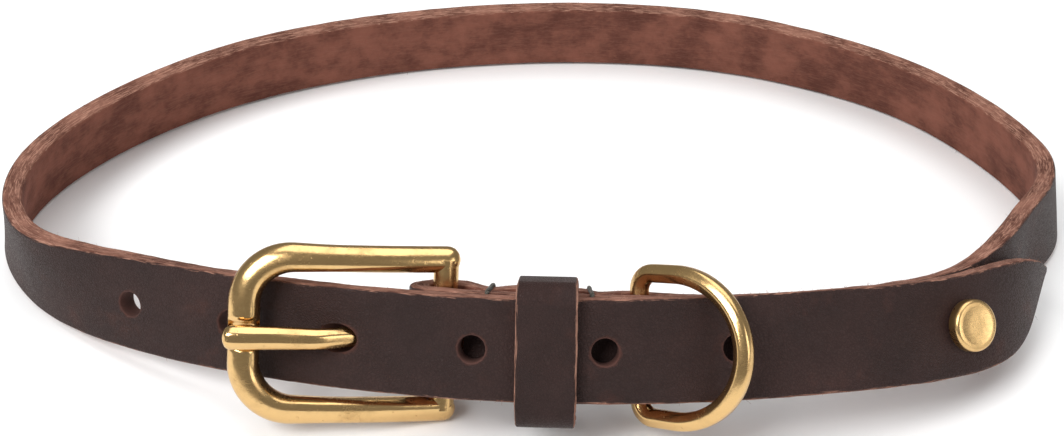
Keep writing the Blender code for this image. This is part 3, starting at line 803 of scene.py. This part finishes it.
def hole_cutter(name, place, radius, flare, low, high):
    """A punch whose two ends widen, so that the rims that it leaves are rounded."""
    bm = bmesh.new()
    steps = 4
    profile = [(0.0, high + 0.002), (radius + flare * 1.5, high + 0.002)]
    for k in range(steps + 1):
        turn = math.pi / 2 * k / steps
        rise = high + 0.00004 - flare * (1 - math.cos(turn))
        profile.append((radius + flare * (1 - math.sin(turn)), rise))
    for k in range(steps + 1):
        turn = math.pi / 2 * k / steps
        rise = low - 0.00004 + flare * (1 - math.sin(turn))
        profile.append((radius + flare * 0.6 * (1 - math.cos(turn)), rise))
    profile += [(radius + flare, low - CLEAR / 2), (0.0, low - CLEAR / 2)]
    turned_on(bm, profile, place, 40)
    return new_object(name, bm, [FINISHES["hole"]])


class COLLAR_OT_strap(bpy.types.Operator):
    """Skins the strap from its point round the loop, over the hinge bar and back, and punches it"""

    bl_idname = "collar.strap"
    bl_label = "Strap"

    def execute(self, context):
        shape = context.scene.collar_shape
        frames, rings, travels = [], [], []
        for travel, matrix, half, share in strap_sections(SECTION_STEP):
            ring = leather_ring(half, STRAP_THICK * share, shape.edge_round, FACE_STEPS)
            frames.append(matrix)
            rings.append(self.wander(ring, travel, shape.edge_wander))
            travels.append(travel)
        outline = leather_ring(STRAP_WIDTH / 2, STRAP_THICK, shape.edge_round, FACE_STEPS)
        around = len(outline)

        def marks(i, j):
            across = rings[i][j % around][0]
            return (travels[i], across), (outline[j % around][2], outline[j % around][3])

        bm = bmesh.new()
        sweep(bm, frames, rings, marks)
        obj = new_object("strap_skin", bm, [FINISHES["strap"], FINISHES["hole"]])
        cut(obj, self.punches(shape.rim_flare))
        obj.data.shade_smooth()
        hand_over(obj, "collar", ["strap"], sharp=60)
        return {"FINISHED"}

    def wander(self, ring, travel, reach):
        """The ring with its cut edges uneven and its flat faces a little wavy."""
        moved = []
        for across, out, _, edge in ring:
            side = 1.0 if across > 0 else -1.0
            spot = Vector((travel * 230, side * 3.1, out * 900))
            coarse = noise.noise(spot) * reach * edge
            fine = noise.noise(spot * 4.3) * reach * 0.45 * edge
            wave = noise.noise(Vector((travel * 60, across * 90, 7.0))) * 0.00007 * (1 - edge)
            moved.append((across + side * (coarse + fine), out + wave))
        return moved

    def punches(self, flare):
        cutters = []
        for k in range(-HOLES_BEFORE_PRONG, HOLES_PAST_PRONG + 1):
            if k:
                place = at_strap(-PRONG_HOLE_FROM_BAR + k * HOLE_PITCH)
                cutters.append(hole_cutter(f"hole_{k}", place, HOLE_DIAMETER / 2, flare, -FACE, FACE))
        place = at_strap(STUD_FROM_BAR)
        cutters.append(hole_cutter("stud_hole", place, STUD_SHANK_DIAMETER / 2 + CLEAR, 0.0001, -FACE, FACE))
        bm = bmesh.new()
        line = smooth_line(prong_points(), 6)[5:28]
        ring = round_ring(PRONG_DIAMETER / 2 + 2 * CLEAR, 32)
        sweep(bm, wire_frames(line, prong_side()), [ring] * len(line))
        cutters.append(new_object("prong_hole", bm, [FINISHES["hole"]]))
        reach = FOLD_RADIUS + STRAP_THICK
        top = -LAYER + FACE + CLEAR / 2
        bottom = BAR_DEPTH - reach
        bm = bmesh.new()
        size = Matrix.Diagonal((2 * reach, FOLD_SLOT_WIDTH, top - bottom, 1))
        bmesh.ops.create_cube(bm, size=1, matrix=at_strap(-reach * 0.4, (top + bottom) / 2) @ size)
        cutters.append(new_object("fold_slot", bm, [FINISHES["hole"]]))
        return cutters


def rounded_box(low, high, left, right, corner, steps, side_steps):
    """Points round a box with rounded corners, as (out, up) pairs, with points along its long sides too."""
    centres = (
        (right - corner, high - corner, 0),
        (left + corner, high - corner, 1),
        (left + corner, low + corner, 2),
        (right - corner, low + corner, 3),
    )
    points = []
    for n, (out, up, quarter) in enumerate(centres):
        arc = []
        for k in range(steps + 1):
            turn = math.pi / 2 * (quarter + k / steps)
            arc.append(Vector((out + corner * math.cos(turn), up + corner * math.sin(turn))))
        points += arc
        next_out, next_up, next_quarter = centres[(n + 1) % 4]
        turn = math.pi / 2 * next_quarter
        start = Vector((next_out + corner * math.cos(turn), next_up + corner * math.sin(turn)))
        count = side_steps if n % 2 else max(side_steps // 3, 2)
        points += [arc[-1].lerp(start, k / count) for k in range(1, count)]
    return points


class COLLAR_OT_keeper(bpy.types.Operator):
    """Wraps the keeper's strip of leather round the strap's layers"""

    bl_idname = "collar.keeper"
    bl_label = "Keeper"

    def execute(self, context):
        shape = context.scene.collar_shape
        half = KEEPER_THICK / 2
        front = FACE + CLEAR + half
        back = -LAYER - FACE - KEEPER_EASE - half
        top = STRAP_WIDTH / 2 + KEEPER_SLACK_TOP + half
        bottom = -STRAP_WIDTH / 2 - KEEPER_SLACK_BOTTOM - half
        outline = rounded_box(bottom, top, back, front, KEEPER_CORNER + half, 8, 22)
        place = at_strap(KEEPER_FROM_BAR)
        count = len(outline)
        middle = Vector(((front + back) / 2, (top + bottom) / 2))
        frames, rings, travels = [], [], []
        run = 0.0
        base = leather_ring(KEEPER_WIDTH / 2, KEEPER_THICK, shape.edge_round * 0.8, 7)
        for k, point in enumerate(outline):
            ahead, behind = outline[(k + 1) % count], outline[k - 1]
            line = (ahead - behind).normalized()
            outward = Vector((line.y, -line.x))
            if outward.dot(point - middle) < 0:
                outward = -outward
            along = Vector((0, line.y, line.x))
            out = Vector((0, outward.y, outward.x))
            frames.append(place @ placed(along, out.cross(along), out, Vector((0, point.y, point.x))))
            run += (point - behind).length
            travels.append(run)
            ring = []
            for across, rise, _, edge in base:
                side = 1.0 if across > 0 else -1.0
                spot = Vector((point.y * 260, side * 5.0 + point.x * 260, rise * 900))
                shift = (noise.noise(spot) * 0.00022 + noise.noise(spot * 4.1) * 0.00007) * edge
                ring.append((across + side * shift, rise))
            rings.append(ring)
        around = len(base)

        def marks(i, j):
            across, _, flesh, edge = base[j % around]
            return (travels[i % count] + (run if i == count else 0.0) + 3.0, across), (flesh, edge)

        bm = bmesh.new()
        sweep(bm, frames, rings, marks, closed=True)
        obj = new_object("keeper_skin", bm, [FINISHES["keeper"]])
        hand_over(obj, "collar", ["keeper"])
        return {"FINISHED"}


# The brass


def frame_plane():
    """The buckle frame's own plane: from the hinge bar towards the front bar, across it, and out of it."""
    start = at_strap(0.0, BAR_DEPTH)
    depth = FACE + FRONT_BAR_LIFT + FRAME_DEPTH / 2 * FRONT_BAR_SWELL
    along = at_strap(-FRONT_BAR_FROM_BAR, depth).translation - start.translation
    length = along.length
    along.normalize()
    across = start.to_3x3() @ Vector((0, 1, 0))
    across = (across - along * across.dot(along)).normalized()
    out = across.cross(along).normalized()
    return placed(along, -across, out, start.translation), length


def prong_side():
    """The direction that the prong's line never bends towards: across the strap."""
    return frame_plane()[0].to_3x3() @ Vector((0, 1, 0))


def prong_points():
    """The prong's line: off the eye, up through the free end's hole, and down onto the front bar's notch."""
    hole = at_strap(-PRONG_HOLE_FROM_BAR)
    plane, length = frame_plane()
    rest = FRAME_DEPTH / 2 * FRONT_BAR_SWELL - NOTCH_DEPTH + CLEAR + PRONG_DIAMETER / 2 * PRONG_TIP_SWELL
    radius = PRONG_DIAMETER / 2
    eye = BAR_RADIUS + CLEAR + EYE_WALL / 2
    start = plane @ Vector((eye * 0.4, 0, eye * 0.8))
    knee = hole @ Vector((0.0012, 0, -radius * 0.3))
    bend = hole @ Vector((-0.0030, 0, FACE + radius * 0.9))
    back = plane @ Vector((length - FRAME_WIRE * 1.1, 0, rest))
    seat = plane @ Vector((length, 0, rest))
    tip = plane @ Vector((length + PRONG_OVERHANG, 0, rest - radius * 0.25))
    under = start.lerp(knee, 0.55) + (plane.to_3x3() @ Vector((0, 0, -radius * 0.35)))
    over = bend.lerp(back, 0.45) + (plane.to_3x3() @ Vector((0, 0, radius * 0.12)))
    return [start, under, knee, bend, over, back, seat, tip]


class COLLAR_OT_buckle(bpy.types.Operator):
    """Casts the buckle's frame with its ridged section, its hinge bar, and the prong"""

    bl_idname = "collar.buckle"
    bl_label = "Buckle"

    def execute(self, context):
        self.frame_piece()
        self.prong_piece()
        return {"FINISHED"}

    def frame_path(self, length):
        side = (FRAME_HEIGHT - FRAME_WIRE) / 2
        path = [(-RAIL_PAST_BAR * share, side) for share in (1.0, 0.985, 0.93, 0.82, 0.6, 0.3, 0.0)]
        path += [(length * share / 100, side) for share in range(4, 68, 4)]
        steps = 18
        for k in range(steps + 1):
            turn = math.pi / 2 * k / steps
            along = length - FRAME_CORNER * (1 - math.sin(turn))
            path.append((along, side - FRAME_CORNER * (1 - math.cos(turn))))
        inner = side - FRAME_CORNER
        path += [(length, inner * (1 - k / 16)) for k in range(1, 17)]
        return path + [(along, -across) for along, across in reversed(path[:-1])]

    def frame_piece(self):
        plane, length = frame_plane()
        points, rings = [], []
        # The section: a rounded ridge near the outer side, which falls off more softly to the inner side
        ridged = (
            (1.00, -0.10), (0.94, 0.42), (0.72, 0.80), (0.40, 0.98), (0.02, 0.96), (-0.45, 0.76),
            (-0.84, 0.38), (-1.00, -0.12), (-0.87, -0.60), (-0.48, -0.92), (0.10, -1.00), (0.62, -0.84),
            (0.92, -0.50),
        )
        for along, across in self.frame_path(length):
            share = max(along, 0.0) / length
            end = max(-along / RAIL_PAST_BAR, 0.0)
            swell = 1 + (FRONT_BAR_SWELL - 1) * smooth(share * 2 - 1)
            swell *= math.sqrt(max(1 - end ** 2.4, 0.02))
            points.append(plane @ Vector((along, across, FRAME_ARCH * math.sin(math.pi * share))))
            notch = NOTCH_DEPTH * 1.3 * smooth(1.9 - abs(across) / 0.0014) if along > length * 0.95 else 0.0
            wide, deep = FRAME_WIRE / 2 * swell, FRAME_DEPTH / 2 * swell
            ring = []
            for p, q in smooth_ring(ridged, 3):
                ring.append((-p * wide, q * deep - (notch if q > 0.3 else 0.0)))
            rings.append(ring)
        side = plane.to_3x3() @ Vector((0, 0, 1))
        bm = bmesh.new()
        sweep(bm, wire_frames(points, side), rings)
        reach = (FRAME_HEIGHT - FRAME_WIRE) / 2
        bar = [plane @ Vector((0, reach * (k / 8 - 1), 0)) for k in range(17)]
        sweep(bm, wire_frames(bar, side), [round_ring(BAR_RADIUS, 28)] * len(bar))
        obj = new_object("buckle_casting", bm, [FINISHES["buckle"]])
        hand_over(obj, "collar", ["buckle_frame"], sharp=50)

    def prong_piece(self):
        line = smooth_line(prong_points(), 10)
        plane, _ = frame_plane()
        rings, points = [], []
        last = len(line) - 1
        tip_radius = PRONG_DIAMETER / 2 * PRONG_TIP_SWELL
        reach = [0.0]
        for first, second in zip(line[::-1], line[-2::-1]):
            reach.append(reach[-1] + (first - second).length)
        reach.reverse()
        extra = [tip_radius * share for share in (0.3, 0.15, 0.05, 0.012)]
        for k, point in enumerate(line[:-1]):
            if reach[k] > tip_radius * 0.4:
                points.append((point, reach[k], k / last))
        heading = (line[-1] - line[-2]).normalized()
        points += [(line[-1] - heading * short, short, 1.0) for short in extra]
        for _, left, share in points:
            swell = 0.94 + (PRONG_TIP_SWELL - 0.94) * smooth(share * 1.6 - 0.5)
            short = max(1 - left / tip_radius, 0.0)
            radius = PRONG_DIAMETER / 2 * swell * math.sqrt(max(1 - short ** 3, 0.02))
            flat = 1.0 - 0.10 * smooth(share * 2)
            rings.append([(x * flat, y) for x, y in self.faceted(radius)])
        bm = bmesh.new()
        sweep(bm, wire_frames([point for point, _, _ in points], prong_side()), rings)
        bore = BAR_RADIUS + CLEAR
        wall = bore + EYE_WALL
        half = EYE_WIDTH / 2
        turned_eye = bmesh.new()
        profile = [(bore, -half), (wall - 0.0003, -half), (wall, -half + 0.0003), (wall, half - 0.0003)]
        profile += [(wall - 0.0003, half), (bore, half), (bore, -half)]
        turned_on(turned_eye, profile, plane @ Matrix.Rotation(math.pi / 2, 4, "X"), 32)
        eye = bpy.data.meshes.new("eye")
        turned_eye.to_mesh(eye)
        turned_eye.free()
        bm.from_mesh(eye)
        bpy.data.meshes.remove(eye)
        obj = new_object("buckle_tongue", bm, [FINISHES["buckle"]])
        hand_over(obj, "collar", ["buckle_prong"], sharp=50)

    def faceted(self, radius):
        """A ring a little flattened on eight sides, as a filed wire is."""
        ring = []
        for k in range(32):
            turn = 2 * math.pi * k / 32
            flat = 1.0 - 0.030 * math.cos(8 * turn)
            ring.append((radius * flat * math.cos(turn), radius * flat * math.sin(turn)))
        return ring


class COLLAR_OT_ring(bpy.types.Operator):
    """Bends the D-ring and gives it the faint ridge of its casting"""

    bl_idname = "collar.ring"
    bl_label = "D-ring"

    def execute(self, context):
        place = at_strap(D_RING_FROM_BAR, D_BAR_DEPTH) @ Matrix.Rotation(-math.radians(D_TILT), 4, "Y")
        side = (D_HEIGHT - D_WIRE) / 2
        reach = D_REACH - D_WIRE
        straight = reach * D_STRAIGHT_SHARE
        corner = D_WIRE * 0.9
        flat = side - corner
        points = [(0.0, flat * (k / 6 - 1)) for k in range(12)]
        for k in range(9):
            turn = math.pi / 2 * k / 8
            points.append((corner * (1 - math.cos(turn)), side - corner * (1 - math.sin(turn))))
        for k in range(1, 5):
            points.append((corner + (straight - corner) * k / 5, side))
        bow = 56
        for k in range(bow + 1):
            turn = math.pi * (0.5 - k / bow)
            points.append((straight + (reach - straight) * math.cos(turn), side * math.sin(turn)))
        for k in range(1, 5):
            points.append((straight - (straight - corner) * k / 5, -side))
        for k in range(8):
            turn = math.pi / 2 * (1 - k / 8)
            points.append((corner * (1 - math.cos(turn)), -side + corner * (1 - math.sin(turn))))
        line = [place @ Vector((x, y, 0)) for x, y in points]
        radius = D_WIRE / 2
        ring = []
        for k in range(28):
            turn = 2 * math.pi * k / 28
            ridge = 1.0 - 0.035 * math.cos(6 * turn)
            ring.append((radius * ridge * math.cos(turn), radius * ridge * math.sin(turn)))
        bm = bmesh.new()
        up = place.to_3x3() @ Vector((0, 0, 1))
        sweep(bm, wire_frames(line, up, closed=True), [ring] * len(line), closed=True)
        obj = new_object("lead_ring", bm, [FINISHES["ring"]])
        hand_over(obj, "d_ring", ["d_ring"])
        return {"FINISHED"}


class COLLAR_OT_stud(bpy.types.Operator):
    """Turns the stud with a plain, faintly rimmed face, and its washer behind the strap"""

    bl_idname = "collar.stud"
    bl_label = "Stud"

    def execute(self, context):
        radius = STUD_DIAMETER / 2
        shank = STUD_SHANK_DIAMETER / 2
        foot = FACE + CLEAR
        top = foot + STUD_HEIGHT
        profile = [(0.0, top - 0.00006), (radius * 0.3, top - 0.00006), (radius * 0.66, top - 0.00005)]
        profile += [(radius * 0.72, top - 0.00001), (radius * 0.76, top), (radius * 0.82, top - 0.00002)]
        for k in range(1, 9):
            turn = math.pi / 2 * k / 8
            reach = radius * 0.84 + radius * 0.16 * math.sin(turn)
            profile.append((reach, top - STUD_HEIGHT * 0.34 * (1 - math.cos(turn))))
        profile += [(radius, foot + STUD_HEIGHT * 0.2), (radius * 0.98, foot + STUD_HEIGHT * 0.08)]
        profile += [(radius * 0.92, foot), (shank, foot), (shank, -FACE), (0.0, -FACE)]
        bm = bmesh.new()
        turned_on(bm, profile, at_strap(STUD_FROM_BAR), 72)
        obj = new_object("stud_cap", bm, [FINISHES["stud"]])
        hand_over(obj, "collar", ["stud"], sharp=40)
        head = -FACE - CLEAR
        wide = STUD_BACK_DIAMETER / 2
        profile = [(0.0, head), (wide * 0.97, head), (wide, head - STUD_BACK_THICK * 0.15)]
        profile += [(wide, head - STUD_BACK_THICK * 0.6), (wide * 0.9, head - STUD_BACK_THICK)]
        profile += [(0.0, head - STUD_BACK_THICK)]
        bm = bmesh.new()
        turned_on(bm, profile, at_strap(STUD_FROM_BAR), 48)
        washer = new_object("stud_washer", bm, [FINISHES["stud"]])
        hand_over(washer, "collar", ["stud_back"], sharp=40)
        return {"FINISHED"}


class COLLAR_OT_stitches(bpy.types.Operator):
    """Sews the fold: two rows of two-ply stitches that wrap over both edges"""

    bl_idname = "collar.stitches"
    bl_label = "Stitches"

    def execute(self, context):
        thread = context.scene.collar_shape.thread
        bm = bmesh.new()
        for from_bar in (FIRST_STITCH_FROM_BAR, SECOND_STITCH_FROM_BAR):
            for up in (1, -1):
                self.wrap(bm, from_bar, up, thread)
            self.row(bm, from_bar, thread)
        obj = new_object("stitches", bm, [FINISHES["thread"]])
        hand_over(obj, "collar")
        return {"FINISHED"}

    def wrap(self, bm, from_bar, up, thread):
        """One stitch over the edges of the two layers that it joins."""
        edge = STRAP_WIDTH / 2
        lift = thread * 0.42
        front = -LAYER + FACE
        back = turnback_depth(from_bar) - FACE
        spots = [
            (edge - 0.0026, front - 0.0006), (edge - 0.0013, front - 0.00012),
            (edge - 0.0002, front - 0.00002), (edge + lift, front - 0.0007),
            (edge + lift * 0.8, (front + back) / 2), (edge + lift, back + 0.0007),
            (edge - 0.0002, back - lift), (edge - 0.0022, back - lift), (edge - 0.0034, back + 0.0009),
        ]
        place = at_strap(from_bar)
        line = smooth_line([place @ Vector((0, up * across, depth)) for across, depth in spots], 9)
        self.plies(bm, line, place.to_3x3() @ Vector((1, 0, 0)), thread)

    def row(self, bm, from_bar, thread):
        """The stitches between the two wraps, on the face that lies against the neck."""
        back = turnback_depth(from_bar) - FACE
        place = at_strap(from_bar)
        lift = thread * 0.42
        for middle in (-0.0027, 0.0, 0.0027):
            ends = ((-0.0013, 0.0006), (-0.0009, -lift), (0.0, -lift), (0.0009, -lift), (0.0013, 0.0006))
            spots = [place @ Vector((0, middle + across, back + rise)) for across, rise in ends]
            self.plies(bm, smooth_line(spots, 8), place.to_3x3() @ Vector((1, 0, 0)), thread)

    def plies(self, bm, line, side, thread):
        """Two plies laid round each other along the line."""
        frames = wire_frames(line, side)
        run = [0.0]
        for first, second in zip(line, line[1:]):
            run.append(run[-1] + (second - first).length)
        for start in (0.0, math.pi):
            strand = []
            for matrix, travel in zip(frames, run):
                turn = start + 2 * math.pi * travel / PLY_LAY
                offset = Vector((0, math.cos(turn), math.sin(turn))) * thread * PLY_OFFSET_SHARE
                strand.append(matrix @ offset)
            ring = round_ring(thread * PLY_RADIUS_SHARE, 10)

            def marks(i, j):
                return (run[i], j * thread * 0.18), (0.0, 0.0)

            sweep(bm, wire_frames(strand, side), [ring] * len(strand), marks)


class COLLAR_OT_fibres(bpy.types.Operator):
    """Raises loose fibres along the strap's cut edges"""

    bl_idname = "collar.fibres"
    bl_label = "Loose fibres"

    def execute(self, context):
        shape = context.scene.collar_shape
        chance = np.random.default_rng(FIBRE_SEED)
        sections = [row for row in strap_sections(SECTION_STEP) if row[0] > 0.001]
        bm = bmesh.new()
        for _ in range(shape.fibres):
            travel, matrix, half, share = sections[chance.integers(len(sections))]
            side = 1 if chance.random() < 0.82 else -1
            depth = STRAP_THICK * share * (chance.random() - 0.5) * 0.98
            length = shape.fibre_length * (0.4 + 1.0 * chance.random())
            along = chance.normal() * 0.9
            out = chance.normal() * 0.8
            root = Vector((chance.random() * 0.0009, side * (half - 0.00012), depth))
            reach = Vector((along, side * (0.35 + chance.random()), out)).normalized() * length
            curl = Vector((chance.normal(), side * chance.random(), chance.normal())) * length * 0.28
            bends = ((0.0, 0.0), (0.35, 0.5), (0.7, 1.0), (1.0, 0.6))
            line = [matrix @ (root + reach * out + curl * bent) for out, bent in bends]
            rings = [round_ring(FIBRE_RADIUS * size, 3) for size in (1.0, 0.9, 0.65, 0.2)]
            normal = matrix.to_3x3() @ Vector((0.3, 0.2, 1)).normalized()
            sweep(bm, wire_frames(line, normal), rings)
        obj = new_object("edge_fibres", bm, [FINISHES["fuzz"]])
        hand_over(obj, "collar")
        return {"FINISHED"}


class COLLAR_OT_stage(bpy.types.Operator):
    """Sets the pale floor, the soft lights and the camera"""

    bl_idname = "collar.stage"
    bl_label = "Stage"

    def execute(self, context):
        bm = bmesh.new()
        bmesh.ops.create_grid(bm, x_segments=1, y_segments=1, size=3.0)
        floor = new_object("floor", bm, [FINISHES["floor"]])
        self.lights()
        self.world(context.scene)
        self.camera(context.scene)
        context.scene.view_settings.view_transform = "Standard"
        return {"FINISHED"}

    def lights(self):
        plan = (
            # name, place, size, watts
            ("key", (-0.55, -0.45, 0.75), 0.55, 9.0),
            ("top", (0.10, 0.25, 0.95), 0.9, 5.5),
            ("fill", (0.75, -0.55, 0.45), 0.6, 2.6),
        )
        for name, place, size, power in plan:
            light = bpy.data.lights.new(name, "AREA")
            light.shape = "SQUARE"
            light.size = size
            light.energy = power
            lamp = bpy.data.objects.new(name, light)
            bpy.context.scene.collection.objects.link(lamp)
            lamp.location = place
            lamp.rotation_euler = (-Vector(place)).to_track_quat("-Z", "Y").to_euler()

    def world(self, scene):
        world = bpy.data.worlds.new("studio")
        world.use_nodes = True
        backdrop = world.node_tree.nodes["Background"]
        backdrop.inputs["Color"].default_value = (1.0, 1.0, 1.0, 1.0)
        backdrop.inputs["Strength"].default_value = 0.27
        scene.world = world

    def camera(self, scene):
        """The photograph's own view: from in front and above, with the small roll of a hand-held camera."""
        elevation, roll = math.radians(CAMERA_ELEVATION), CAMERA_ROLL
        right = Vector((1, 0, 0))
        forward = Vector((0, math.cos(elevation), -math.sin(elevation)))
        up = right.cross(forward)
        turned_right = right * math.cos(roll) + up * math.sin(roll)
        turned_up = up * math.cos(roll) - right * math.sin(roll)
        data = bpy.data.cameras.new("camera")
        data.sensor_width = SENSOR_WIDTH
        data.lens = FOCAL_SHARE_OF_WIDTH * SENSOR_WIDTH
        data.clip_start = 0.01
        camera = bpy.data.objects.new("camera", data)
        scene.collection.objects.link(camera)
        camera.matrix_world = placed(turned_right, turned_up, -forward, Vector(CAMERA_PLACE) + loop.shift)
        scene.camera = camera


class COLLAR_PT_panel(bpy.types.Panel):
    """Lists the collar's pieces, colours and sizes"""

    bl_idname = "COLLAR_PT_panel"
    bl_label = "Leather collar"
    bl_space_type = "VIEW_3D"
    bl_region_type = "UI"
    bl_category = "Collar"

    def draw(self, context):
        for group in (context.scene.collar_shape, context.scene.collar_look):
            for name in group.__annotations__:
                self.layout.prop(group, name)
        for step in STEPS:
            self.layout.operator(step.bl_idname)


STEPS = (
    COLLAR_OT_finishes,
    COLLAR_OT_strap,
    COLLAR_OT_keeper,
    COLLAR_OT_buckle,
    COLLAR_OT_ring,
    COLLAR_OT_stud,
    COLLAR_OT_stitches,
    COLLAR_OT_fibres,
    COLLAR_OT_stage,
)


def register():
    for cls in (CollarLook, CollarShape, *STEPS, COLLAR_PT_panel):
        bpy.utils.register_class(cls)
    bpy.types.Scene.collar_look = bpy.props.PointerProperty(type=CollarLook)
    bpy.types.Scene.collar_shape = bpy.props.PointerProperty(type=CollarShape)


def unregister():
    del bpy.types.Scene.collar_shape
    del bpy.types.Scene.collar_look
    for cls in reversed((CollarLook, CollarShape, *STEPS, COLLAR_PT_panel)):
        bpy.utils.unregister_class(cls)


def main():
    for name in ("Cube", "Light", "Camera"):
        if name in bpy.data.objects:
            bpy.data.objects.remove(bpy.data.objects[name])
    register()
    seat_loop()
    for step in STEPS:
        group, name = step.bl_idname.split(".")
        if getattr(getattr(bpy.ops, group), name)() != {"FINISHED"}:
            raise RuntimeError(f"{step.bl_label} could not be made")


if __name__ == "__main__":
    main()
